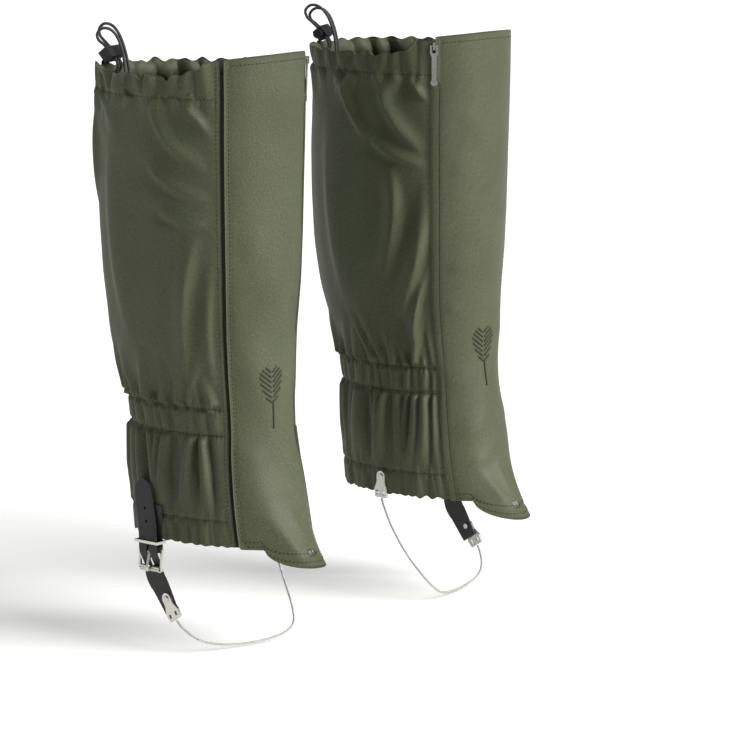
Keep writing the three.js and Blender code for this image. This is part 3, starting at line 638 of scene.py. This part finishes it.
# Slack folds: three points of a bent path, (mm round from the outer edge, height), then width and depth.
OUTER_DRAPES = [
    (((58, -22), (52, -56), (10, -74)), 9, 4.4), (((34, -20), (18, -34), (2, -52)), 6, 3.4),
    (((62, -72), (42, -94), (5, -98)), 9, 4.0), (((52, -108), (34, -122), (3, -116)), 8, 3.2),
    (((20, -126), (36, -182), (36, -240)), 12, 4.2), (((5, -150), (14, -200), (9, -250)), 8, 3.2),
    (((104, -46), (114, -130), (96, -222)), 25, 3.8), (((150, -26), (138, -60), (152, -112)), 13, 3.6),
    (((190, -50), (202, -130), (168, -232)), 24, 4.4), (((250, -26), (234, -90), (252, -152)), 15, 3.6),
    (((290, -118), (312, -180), (280, -238)), 18, 3.6), (((338, -34), (360, -100), (397, -120)), 11, 3.8),
    (((330, -130), (352, -180), (396, -204)), 12, 3.6),
]
INNER_DRAPES = [
    (((352, -21), (356, -60), (392, -84)), 9, 4.4), (((376, -21), (386, -34), (399, -44)), 6, 3.2),
    (((344, -74), (364, -92), (398, -94)), 9, 4.0), (((360, -96), (376, -132), (350, -192)), 11, 4.0),
    (((399, -104), (394, -168), (364, -226)), 12, 6.0), (((397, -178), (382, -214), (375, -246)), 7, 3.6),
    (((312, -24), (316, -50), (338, -72)), 8, 3.2), (((298, -50), (286, -140), (308, -226)), 25, 3.8),
    (((42, -28), (48, -70), (4, -98)), 11, 4.0), (((32, -128), (40, -180), (3, -208)), 11, 3.6),
    (((100, -60), (112, -140), (90, -228)), 24, 4.2), (((172, -30), (158, -84), (178, -142)), 15, 3.8),
    (((232, -60), (212, -150), (238, -234)), 24, 4.2),
]
# Each side's seed and slack folds.
CLOTH_DRAWS = {1: (11, INNER_DRAPES), -1: (23, OUTER_DRAPES)}
SLOT_LEVEL = -370.5
# The middle of the emblem on each panel, in mm, then its chevrons as (height, reach) and its stalk.
EMBLEM_PLACE = {1: -1.0, -1: 6.0}
EMBLEM_CHEVRONS = [(-239, 5), (-243, 8), (-247, 10.5), (-251, 11), (-255, 10.5), (-259, 8), (-263, 5)]
EMBLEM_STALK = (-262, -284)
# Shallow folds of the front panel: start, end, width and height.
FRONT_DENTS = [
    ((-30, -352), (12, -330), 7, 1.5), ((-34, -330), (6, -300), 8, 1.2), ((-6, -372), (-24, -350), 5, 1.3),
    ((8, -374), (26, -352), 5, 1.2), ((0, -366), (2, -340), 5, 1.0), ((34, -318), (4, -290), 9, 1.1),
    ((-36, -288), (-4, -262), 9, 1.0), ((34, -250), (0, -215), 12, 0.9), ((-38, -104), (-16, -84), 7, 0.8),
    ((-38, -186), (-12, -172), 7, 0.9), ((-37, -214), (-18, -222), 6, 0.8), ((36, -150), (8, -120), 10, 0.8),
    ((-30, -50), (-2, -74), 9, 0.7),
]


class Cloth:
    """One gaiter's whole tube: rows up the leg, columns from the inner seam round the front and back."""

    def __init__(self, seed, drapes):
        self.rng = np.random.default_rng(seed)
        self.drapes = drapes
        rows = len(ROW_LEVELS)
        self.first_side = FRONT_COLUMNS + BAND_COLUMNS
        self.columns = self.first_side + SIDE_COLUMNS
        front = np.linspace(0, 1, FRONT_COLUMNS + 1)
        top_front, bottom_front = front_edges(front)
        self.start = np.zeros((rows, self.columns, 3))
        self.angles = np.zeros((rows, self.columns))
        band = np.linspace(0, 1, BAND_COLUMNS + 1)[1:]
        side = np.linspace(0, 1, SIDE_COLUMNS + 1)
        side_top = rim_height(side)
        for r, level in enumerate(ROW_LEVELS):
            inner, outer = float(inner_seam(level)), float(outer_seam(level))
            across = even_angles(level, inner, outer, FRONT_COLUMNS + 1)
            round_back = even_angles(level, outer + BAND_ANGLE, 2 * np.pi + inner, SIDE_COLUMNS + 1)
            angle = np.concatenate([across, outer + BAND_ANGLE * band, round_back[1:-1]])
            z = np.concatenate([
                column_height(level, top_front, bottom_front),
                column_height(level, np.full(BAND_COLUMNS, RIM_AT_SEAM), np.full(BAND_COLUMNS, HEM)),
                column_height(level, side_top[1:-1], np.full(SIDE_COLUMNS - 1, HEM)),
            ])
            self.angles[r] = angle
            self.start[r] = leg_point(angle, z, CLOTH_FORM)
        self.share = np.zeros(self.columns)
        self.share[self.first_side:] = side[:-1]
        self.is_side = np.arange(self.columns) >= self.first_side
        self.points = self.start + self.folds()[..., None] * self.normals()

    def inside_casing(self, angle, z):
        """The middle of the drawcord's channel at an angle and height, following the gathers."""
        side = slice(self.first_side, None)
        row = fine_rows(CASING_STITCH + (z - CASING_STITCH) * CASING_SQUEEZE)
        column = np.interp(angle, self.angles[int(row), side], np.arange(self.columns - self.first_side))
        point, normal = Surface(self.points[:, side]).at(row, column)
        return point - CORD_BEHIND * normal

    def normals(self):
        """Outward directions of the smooth form, with the columns joined up all round."""
        around = np.roll(self.start, -1, axis=1) - np.roll(self.start, 1, axis=1)
        return unit_normals(around, np.gradient(self.start, axis=0))

    def side_folds(self, s, z):
        """Fold heights on the side and back, s mm round from the outer edge and z up the leg."""
        rng = self.rng
        shape = np.broadcast(s, z).shape
        top_row, low_row = max(ANKLE_ROWS), min(ANKLE_ROWS)
        casing, below_rim, calf, channel, pleats, hem = (np.zeros(shape) for _ in range(6))
        for place in spaced(rng, 8, 25, 8, CLOTH_ROUND):
            reach, drift = rng.uniform(-6, 26) * rng.choice([1, 1, 1.6]), rng.uniform(-0.45, 0.45)
            end = (place + drift * (reach + 20), CASING_STITCH - reach)
            widths = (rng.uniform(3.2, 5.8), 5.5 + 0.18 * max(reach, 0))
            fold = ridge(s, z, (place, RIM + 7), end, widths, rng.uniform(3.4, 8.0), 0.08, 0.75)
            casing = np.maximum(casing, fold)
        for place in spaced(rng, 13, 34, 8, CLOTH_ROUND):
            reach, drift = rng.uniform(14, 46), rng.uniform(-0.9, 0.9)
            end = (place + drift * reach, CASING_STITCH - reach)
            widths = (3.2, 5 + 0.14 * reach)
            fold = ridge(s, z, (place, CASING_STITCH + 2), end, widths, rng.uniform(2.6, 6.2))
            below_rim = np.maximum(below_rim, fold)
        gathers = list(spaced(rng, 9, 20, 8, CLOTH_ROUND))
        for place, gap in zip(gathers, np.diff([*gathers, CLOTH_ROUND])):
            reach, drift = rng.uniform(16, 62) * rng.choice([1, 1, 1, 1.5]), rng.uniform(-0.5, 0.5)
            end = (place + drift * reach, top_row + reach)
            widths = (0.3 * gap, 0.3 * gap + 0.1 * reach)
            fold = ridge(s, z, (place, top_row), end, widths, rng.uniform(4.2, 9.0), fall=1.0)
            calf = np.maximum(calf, fold)
            lean, bow = rng.uniform(-0.3, 0.16), rng.uniform(-4, 4)
            middle = (s - place - 0.1 * (z - top_row)) / (0.34 * gap)
            inside = np.clip((z - low_row) / (top_row - low_row), 0, 1)
            fold = rng.uniform(2.0, 3.6) * crown(middle) * np.sin(np.pi * inside) ** 0.55
            channel = np.maximum(channel, fold)
            below = np.clip((low_row - z) / (low_row - HEM_STITCH), 0, 1)
            middle = s - place + 2 - lean * (low_row - z) - bow * np.sin(np.pi * below)
            middle = middle / (gap * rng.uniform(0.36, 0.6) * (0.72 + 0.5 * below))
            thin = 1 - 0.8 * smoothstep(below, rng.uniform(0.35, 0.6), 1)
            swell = smoothstep(low_row - z, -2, 6) * thin
            pleats = np.maximum(pleats, rng.uniform(3.2, 8.4) * crown(middle) * swell)
        for place in spaced(rng, 7, 19, 6, CLOTH_ROUND):
            under = np.clip((HEM_STITCH - z) / (HEM_STITCH - HEM), 0, 1.2)
            middle = (s - place) / rng.uniform(2.8, 6.5)
            hem = np.maximum(hem, rng.uniform(0.8, 3.0) * crown(middle) * smoothstep(under, 0, 0.35))
            reach = rng.uniform(10, 30)
            end = (place + rng.uniform(-5, 5), HEM_STITCH + reach)
            fold = ridge(s, z, (place, HEM_STITCH), end, (3.4, 6), rng.uniform(1.4, 3.0))
            hem = np.maximum(hem, fold)
        slack = np.zeros(shape)
        for path, width, height in self.drapes:
            slack += drape(s, z, path, 0.88 * width, 1.6 * height)
        return casing + below_rim + calf + channel + pleats + hem + slack

    def folds(self):
        """Gathers, slack folds and dents, as heights over the smooth form."""
        share = self.share[None, :]
        level = ROW_LEVELS[:, None]
        s = share * CLOTH_ROUND
        edge = np.minimum(share, 1 - share) * CLOTH_ROUND
        free = np.where(self.is_side, smoothstep(edge, 1, 16), 0)
        side = self.side_folds(s, level)
        side = side - 0.85 * blur_across(side, 45)
        puff = np.zeros_like(side)
        pinches = (ANKLE_ROWS[0], 0.9), (ANKLE_ROWS[1], 0.9), (HEM_STITCH, 0.6), (CASING_STITCH, 0.1)
        for row, deep in pinches:
            puff = puff - deep * np.exp(-((level - row) / 2.6) ** 2)
        x = self.start[..., 0]
        front = np.zeros_like(side)
        for start, end, width, height in FRONT_DENTS:
            front += ridge(x, level, start, end, (width * 0.8, width), 1.6 * height, 0.4, 1.0, crease=False)
        front = front + 0.6 * waves(level + 0.4 * x, 120, self.rng)
        front = front + 0.5 * waves(x - 0.5 * level, 64, self.rng)
        in_front = np.where(self.is_side, 0, 1) * smoothstep(44 - np.abs(x), 0, 12)
        return (side + puff) * free + front * in_front


# ---- cloth pieces from the grid
def grid_normals(points):
    return unit_normals(np.gradient(points, axis=1), np.gradient(points, axis=0))


def hole_faces(index, hole, count):
    """Walls round a rectangular opening through a shell."""
    r0, r1, c0, c1 = hole
    loop = np.concatenate([index[r0, c0:c1], index[r0:r1, c1], index[r1, c1:c0:-1], index[r1:r0:-1, c0]])
    after = np.roll(loop, -1)
    return np.stack([loop, after, after + count, loop + count], axis=-1)


def shell_mesh(name, outside, thickness, uv, side, outer_material, hole=None):
    """A closed sheet: the outside grid, the same grid pushed in by its thickness, and the edges between."""
    rows, columns = outside.shape[:2]
    normal = grid_normals(outside)
    inside = outside - thickness[..., None] * normal
    count = rows * columns
    index = np.arange(count).reshape(rows, columns)
    outer = np.stack([index[:-1, :-1], index[:-1, 1:], index[1:, 1:], index[1:, :-1]], axis=-1)
    edges = []
    keep = np.ones(outer.shape[:2], bool)
    if hole:
        keep[hole[0]:hole[1], hole[2]:hole[3]] = False
        edges.append(hole_faces(index, hole, count))
    outer = outer[keep]
    inner = outer[:, ::-1] + count
    for line in (index[0, ::-1], index[:, 0], index[-1], index[::-1, -1]):
        edges.append(np.stack([line[:-1], line[1:], line[1:] + count, line[:-1] + count], axis=-1)[:, ::-1])
    faces = np.concatenate([outer, inner, *edges])
    points = np.concatenate([outside.reshape(-1, 3), inside.reshape(-1, 3)])
    uv = np.concatenate([uv.reshape(-1, 2), uv.reshape(-1, 2)])
    used = np.unique(faces)
    renumber = np.zeros(len(points), int)
    renumber[used] = np.arange(len(used))
    materials = outer_material, MATERIALS["lining"]
    piece = mesh_object(name, points[used], renumber[faces].tolist(), side, *materials)
    mesh = piece.data
    slots = np.zeros(len(faces), np.int32)
    slots[len(outer):len(outer) + len(inner)] = 1
    mesh.polygons.foreach_set("material_index", slots)
    layer = mesh.uv_layers.new(name="flat")
    loops = np.zeros(len(mesh.loops), np.int32)
    mesh.loops.foreach_get("vertex_index", loops)
    layer.data.foreach_set("uv", (uv[used][loops] * MM).astype(np.float32).ravel())
    return piece


def flat_lengths(points):
    """Arc length along each row and up each column, in mm, as a flat pattern's coordinates."""
    u = np.zeros(points.shape[:2])
    u[:, 1:] = np.cumsum(np.linalg.norm(np.diff(points, axis=1), axis=-1), axis=1)
    v = np.zeros(points.shape[:2])
    v[1:] = np.cumsum(np.linalg.norm(np.diff(points, axis=0), axis=-1), axis=0)
    middle = points.shape[1] // 2
    return np.stack([u - u[:, middle:middle + 1], v], axis=-1)


class Surface:
    """A grid of points with its normals, for placing stitches between its rows and columns."""

    def __init__(self, points):
        self.points = points
        self.normal = grid_normals(points)

    def at(self, row, column):
        row, column = np.broadcast_arrays(np.asarray(row, float), np.asarray(column, float))
        rows, columns = self.points.shape[:2]
        r = np.clip(row, 0, rows - 1.001)
        c = np.clip(column, 0, columns - 1.001)
        i, j = r.astype(int), c.astype(int)
        a, b = (r - i)[..., None], (c - j)[..., None]

        def mix(grid):
            low = grid[i, j] * (1 - b) + grid[i, j + 1] * b
            high = grid[i + 1, j] * (1 - b) + grid[i + 1, j + 1] * b
            return low * (1 - a) + high * a
        return mix(self.points), mix(self.normal)


def stitch_mesh(name, runs, side, material, length=2.4, pitch=3.3, width=0.7, lift=0.12):
    """Rows of separate stitches. Each run is (points, normals) along the surface, in mm."""
    sides = 6
    along = np.array([-0.5, -0.32, 0, 0.32, 0.5])
    fat = np.array([0.25, 0.85, 1.0, 0.85, 0.25])
    sink = np.array([-0.5, -0.1, 0.25, -0.1, -0.5])
    turn = np.linspace(0, 2 * np.pi, sides, endpoint=False)
    vertices, faces = [], []
    for points, normals in runs:
        steps = running_length(points)

        def at(place, values):
            return np.array([np.interp(place, steps, values[:, k]) for k in range(3)])

        for centre in np.arange(pitch / 2, steps[-1], pitch):
            ends = [at(centre + d * length, points) for d in (-0.5, 0.5)]
            middle, normal = at(centre, points), at(centre, normals)
            normal /= np.linalg.norm(normal)
            direction = ends[1] - ends[0]
            direction -= normal * (direction @ normal)
            direction /= max(np.linalg.norm(direction), 1e-6)
            across = np.cross(normal, direction)
            base = len(vertices)
            for a, f, d in zip(along, fat, sink):
                origin = middle + direction * a * length + normal * (lift + d * width)
                for t in turn:
                    vertices.append(origin + f * width / 2 * (across * math.cos(t) + normal * math.sin(t)))
            last = base + (len(along) - 1) * sides
            for ring in range(base, last, sides):
                for k in range(sides):
                    one, two = ring + k, ring + (k + 1) % sides
                    faces.append([one, two, two + sides, one + sides])
            faces.append([base + k for k in range(sides)][::-1])
            faces.append([last + k for k in range(sides)])
    return mesh_object(name, vertices, faces, side, material)


def attach(piece, slot, *nodes):
    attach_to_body(piece, CLOTH_BODY)
    if nodes:
        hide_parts(*nodes)
    return piece


def pucker(columns, level, rng, sizes):
    """Heights that press the grid in along a stitched row, with small tucks beside it."""
    s = np.arange(1, columns + 1)[None, :] * 1.2
    dent, tuck, width = sizes
    near = np.exp(-((ROW_LEVELS[:, None] - level) / 1.6) ** 2)
    beside = np.exp(-((ROW_LEVELS[:, None] - level) / width) ** 2)
    return -dent * near + tuck * beside * waves(s, 6.0, rng) * (1 - 0.5 * near)


def make_side_panel(side, name, cloth):
    grid = np.concatenate([cloth.points[:, cloth.first_side - 1:], cloth.points[:, :5]], axis=1)
    rng = np.random.default_rng(40 + side)
    rows, columns = grid.shape[:2]
    levels = ROW_LEVELS[:, None]
    from_end = np.arange(columns)[::-1]
    fade = np.clip(np.minimum(np.arange(columns), from_end) / 12, 0, 1)[None, :]
    height = pucker(columns, CASING_STITCH, rng, (0.3, 0.2, 6)) * (0.35 + 0.65 * fade)
    for level in ANKLE_ROWS:
        height += pucker(columns, level, rng, (0.7, 0.35, 5)) * fade
    height += pucker(columns, HEM_STITCH, rng, (0.6, 0.3, 6)) * fade
    casing = np.clip((levels - CASING_STITCH) / (RIM - CASING_STITCH), 0, 1)
    hem = np.clip((HEM_STITCH - levels) / (HEM_STITCH - HEM), 0, 1)
    height += 0.35 * np.sin(np.pi * casing) ** 0.7 * fade
    height += 1.5 * smoothstep(-from_end.astype(float), -10, -3)
    normal = grid_normals(grid)
    outside = grid + height[..., None] * normal
    along_rim = np.arange(columns)[None, :] * 1.0
    outside[..., 2] += 1.7 * casing * fade * waves(along_rim, 17, rng)
    outside[..., 2] += 0.7 * hem * fade * waves(along_rim, 12, rng)
    top_gap = smoothstep(levels, -30, -12)
    keep = columns - 1 - np.round(5 * top_gap[:, 0]).astype(int)
    for r in range(rows):
        last = keep[r]
        if last < columns - 1:
            outside[r, -10:] = np.stack([
                np.interp(np.linspace(columns - 10, last, 10), np.arange(columns), outside[r, :, k])
                for k in range(3)], axis=1)
    thickness = 1.1 + 4.2 * np.sin(np.pi * casing) ** 0.6 * fade + 1.3 * np.minimum(1, 6 * hem) * fade
    thickness[[0, -1]] *= 0.75
    uv = flat_lengths(grid)
    piece = shell_mesh(f"{name}_side_back_cloth", outside, thickness, uv, side, MATERIALS["olive"])
    attach(piece, "olive_fabric", f"{name}_side_back_panel", f"{name}_ankle_elastic", f"{name}_hem_elastic")
    surface = Surface(outside)
    span = np.arange(4, columns - 6, 1.0)
    up = np.arange(2, rows - 2, 1.0)
    runs = [surface.at(fine_rows(level), span) for level in (CASING_STITCH, *ANKLE_ROWS, HEM_STITCH)]
    runs += [surface.at(up, 2.4), surface.at(up[up < fine_rows(-30)], columns - 7.0)]
    attach(stitch_mesh(f"{name}_side_stitches", runs, side, MATERIALS["thread"]), "olive_fabric")


def make_front_panel(side, name, fine):
    grid = fine[:, 1:FRONT_COLUMNS + 2]
    rows, columns = grid.shape[:2]
    edge = np.minimum(np.arange(columns), np.arange(columns)[::-1])[None, :]
    height = 0.5 * np.exp(-(edge / 2.2) ** 2) - 0.35 * np.exp(-((edge - 3) / 1.0) ** 2)
    height = height - 0.3 * np.exp(-((np.arange(rows)[:, None] - 4) / 1.2) ** 2)
    outside = grid + height[..., None] * grid_normals(grid)
    thickness = np.full((rows, columns), 1.5)
    thickness[[0, -1]] *= 0.7
    thickness[:, [0, -1]] *= 0.7
    uv = flat_lengths(grid)
    row = round(float(fine_rows(SLOT_LEVEL)))
    column = int(np.argmin(np.abs(outside[row, :, 0])))
    hole = (row - 1, row + 1, column - 3, column + 3)
    piece = shell_mesh(f"{name}_front_cloth", outside, thickness, uv, side, MATERIALS["olive"], hole)
    attach(piece, "olive_fabric", f"{name}_front_panel")
    surface = Surface(outside)
    across = np.arange(4, columns - 4, 1.0)
    runs = [surface.at(np.arange(5, rows - 4, 1.0), columns - 3.6)]
    runs += [surface.at(row_number, across) for row_number in (rows - 4.0, 2.2, 5.4)]
    attach(stitch_mesh(f"{name}_front_stitches", runs, side, MATERIALS["thread"]), "olive_fabric")
    spacing = np.linalg.norm(np.diff(outside, axis=1), axis=-1).mean(axis=1)

    def on_panel(x, z):
        rows_at = fine_rows(z)
        nearest = rows_at.astype(int)
        middle = np.argmin(np.abs(outside[nearest, :, 0] - EMBLEM_PLACE[side]), axis=1)
        return surface.at(rows_at, float(np.mean(middle)) + x / spacing[nearest])

    attach(stitch_mesh(f"{name}_emblem_satin", [on_panel(*line) for line in emblem_lines()], side,
                       MATERIALS["emblem"], length=2.6, pitch=0.85, width=1.7, lift=0.05), "olive_fabric")


def emblem_lines():
    """A plain column of chevrons, as lines of (x, z) on the panel, in mm."""
    share = np.linspace(0, 1, 12)
    lines = [(way * (1.2 + reach * share), z + 0.75 * reach * share)
             for z, reach in EMBLEM_CHEVRONS for way in (-1, 1)]
    return [*lines, (np.zeros(12), np.linspace(*EMBLEM_STALK, 12))]


def make_band(side, name, fine):
    grid = fine[:-6, FRONT_COLUMNS - 5:FRONT_COLUMNS + BAND_COLUMNS + 4]
    outside = grid - 2.4 * grid_normals(grid)
    thickness = np.full(outside.shape[:2], 0.9)
    uv = flat_lengths(outside)
    piece = shell_mesh(f"{name}_band_cloth", outside, thickness, uv, side, MATERIALS["band"])
    attach(piece, "dark_fabric", f"{name}_outer_band")


STRAP_LINE = [
    (57.8, 14.6, -330.5), (58, 13.4, -334.4), (58.3, 12.2, -339.5), (59, 9.7, -351), (60, 6.6, -365),
    (62.5, 3.4, -379), (63, 2.4, -387), (61.6, 2.2, -391.5), (58.8, 2.1, -396.5), (57.1, 2, -401),
    (57, 1.2, -407), (57, -1.8, -412), (57, -6, -417.2), (57, -17.5, -434.6),
]
# The strap's cross-section, as shares of its half width and half thickness.
STRAP_PROFILE = [
    (-1.0, 0.0), (-0.985, 0.55), (-0.95, 0.9), (-0.9, 1.0), (-0.6, 1.08), (0, 1.12), (0.6, 1.08), (0.9, 1.0),
    (0.95, 0.9), (0.985, 0.55), (1.0, 0.0), (0.985, -0.55), (0.95, -0.9), (0.9, -1.0), (0.6, -1.0), (0, -1.0),
    (-0.6, -1.0), (-0.9, -1.0), (-0.95, -0.9), (-0.985, -0.55),
]
STRAP_HOLES = [(6.9, -364), (9.2, -353.5)]
STRAP_SLOT = ((54, 0.3, -400), (67, 4.1, -382.4))


def cut_through(piece, cutters):
    """Cuts the cutters out of a piece, once and for all."""
    for cutter in cutters:
        modifier = piece.modifiers.new("cut", "BOOLEAN")
        modifier.operation = "DIFFERENCE"
        modifier.solver = "EXACT"
        modifier.object = cutter
    bpy.context.view_layer.update()
    mesh = bpy.data.meshes.new_from_object(piece.evaluated_get(bpy.context.evaluated_depsgraph_get()))
    piece.modifiers.clear()
    piece.data = mesh
    for cutter in cutters:
        bpy.data.objects.remove(cutter)


def solid_between(low, high, side, sides=4):
    """A box, or a rod along X with that many sides, between two corners in mm."""
    middle, size = (np.array(low) + high) / 2, (np.array(high) - low) / 2
    turns = np.linspace(0, 2 * np.pi, sides, endpoint=False) + np.pi / sides
    grow = 1 / math.cos(np.pi / sides)
    ring = np.stack([np.cos(turns) * grow, np.sin(turns) * grow], axis=1) * size[1:] + middle[1:]
    points = np.array([(x, *p) for x in (low[0], high[0]) for p in ring])
    faces = [list(range(sides))[::-1], list(range(sides, 2 * sides))]
    faces += [[i, (i + 1) % sides, (i + 1) % sides + sides, i + sides] for i in range(sides)]
    return mesh_object("cutter", points, faces, side)


def make_strap(side, name):
    """A leather-like strap: rounded free end, softly rounded edges, punched holes and a long slot."""
    line = smooth_line(STRAP_LINE, 8)
    run = running_length(line)
    rounded_part = run[-1] * 0.12
    even = np.concatenate([rounded_part * (1 - np.cos(np.linspace(0, np.pi / 2, 30))),
                           np.linspace(rounded_part, run[-1], 121)[1:]])
    line = np.stack([np.interp(even, run, line[:, k]) for k in range(3)], axis=1)
    travel = np.gradient(line, axis=0)
    travel /= np.linalg.norm(travel, axis=1, keepdims=True)
    out = np.array([1.0, 0, 0]) - travel * travel[:, :1]
    out /= np.linalg.norm(out, axis=1, keepdims=True)
    across = np.cross(travel, out)
    half = np.interp(even / run[-1], [0, 0.75, 1], [10, 10, 7.5])
    round_end = np.sqrt(np.clip(1 - (1 - np.clip(even / 10.5, 0, 1)) ** 2, 0.0006, 1))
    half = (half * round_end)[:, None]
    rings = np.stack([line + across * (half * share) + out * (0.7 * face)
                      for share, face in STRAP_PROFILE], axis=1)
    rows, columns = rings.shape[:2]
    index = np.arange(rows * columns).reshape(rows, columns)
    after = np.roll(index, -1, axis=1)
    faces = np.stack([index[:-1], after[:-1], after[1:], index[1:]], axis=-1).reshape(-1, 4).tolist()
    faces += [index[0, ::-1].tolist(), index[-1].tolist()]
    faces = [face[::-1] for face in faces]
    piece = mesh_object(f"{name}_strap", rings.reshape(-1, 3), faces, side, MATERIALS["strap"])
    bm = bmesh.new()
    bm.from_mesh(piece.data)
    bmesh.ops.recalc_face_normals(bm, faces=bm.faces)
    bm.to_mesh(piece.data)
    bm.free()
    cutters = [solid_between(*STRAP_SLOT, side)]
    for y, z in STRAP_HOLES:
        cutters.append(solid_between((54, y - 1.2, z - 1.2), (66, y + 1.2, z + 1.2), side, 16))
    cut_through(piece, cutters)
    shade_smooth(piece.data)
    piece.data.set_sharp_from_angle(angle=math.radians(40))
    attach(piece, "black_strap", f"{name}_adjusting_strap")


def make_gaiter(side, name):
    cloth = Cloth(*CLOTH_DRAWS[side])
    make_cord(side, name, cloth)
    make_side_panel(side, name, cloth)
    make_front_panel(side, name, cloth.points)
    make_band(side, name, cloth.points)
    make_strap(side, name)
    make_stirrup(side, name)


# ---- frame nodes that keep their shape
NODE_LOOKS = {
    "tape": ["zip_half_side", "zip_half_front"],
    "gunmetal": ["zip_slider", "zip_pull"],
    "plastic": ["zip_bottom_box", "cord_lock_body", "cord_lock_button"],
    "strap": ["buckle_tab"],
    "nickel": ["cord_lock_spring", "lace_hook", "buckle_frame", "buckle_prong", "buckle_roller",
               "strap_keeper", "outer_clip", "outer_clip_rivet", "inner_clip", "inner_clip_rivet"],
}
EDGE_ANGLE = math.radians(35)
# Width in mm of the rounding on the edges of each node that has any.
BEVELS = {
    "zip_pull": 0.3, "cord_lock_body": 0.9, "cord_lock_button": 0.6, "buckle_frame": 0.6, "strap_keeper": 0.5,
    "outer_clip": 0.5, "inner_clip": 0.5, "buckle_prong": 0.4, "zip_slider": 0.2, "lace_hook": 0.25,
    "buckle_tab": 0.3,
}


def finish_node(node, look, bevel):
    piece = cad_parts[node]
    piece.data.materials.clear()
    piece.data.materials.append(MATERIALS[look])
    shade_smooth(piece.data)
    piece.data.set_sharp_from_angle(angle=EDGE_ANGLE)
    if bevel:
        modifier = piece.modifiers.new("soft_edges", "BEVEL")
        modifier.width = bevel * MM
        modifier.segments = 3
        modifier.limit_method = "ANGLE"
        modifier.angle_limit = EDGE_ANGLE
        modifier.harden_normals = True


make_camera()
for sign, label in ((1, "left"), (-1, "right")):
    for look, parts in NODE_LOOKS.items():
        for part in parts:
            finish_node(f"{label}_{part}", look, BEVELS.get(part))
    make_gaiter(sign, label)
make_floor(float(CAD_BOX[0][2]) - FLOOR_GAP)
make_light()

lines = [[list(map(float, corner)) for corner in box] for box in (CAD_BOX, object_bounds())]
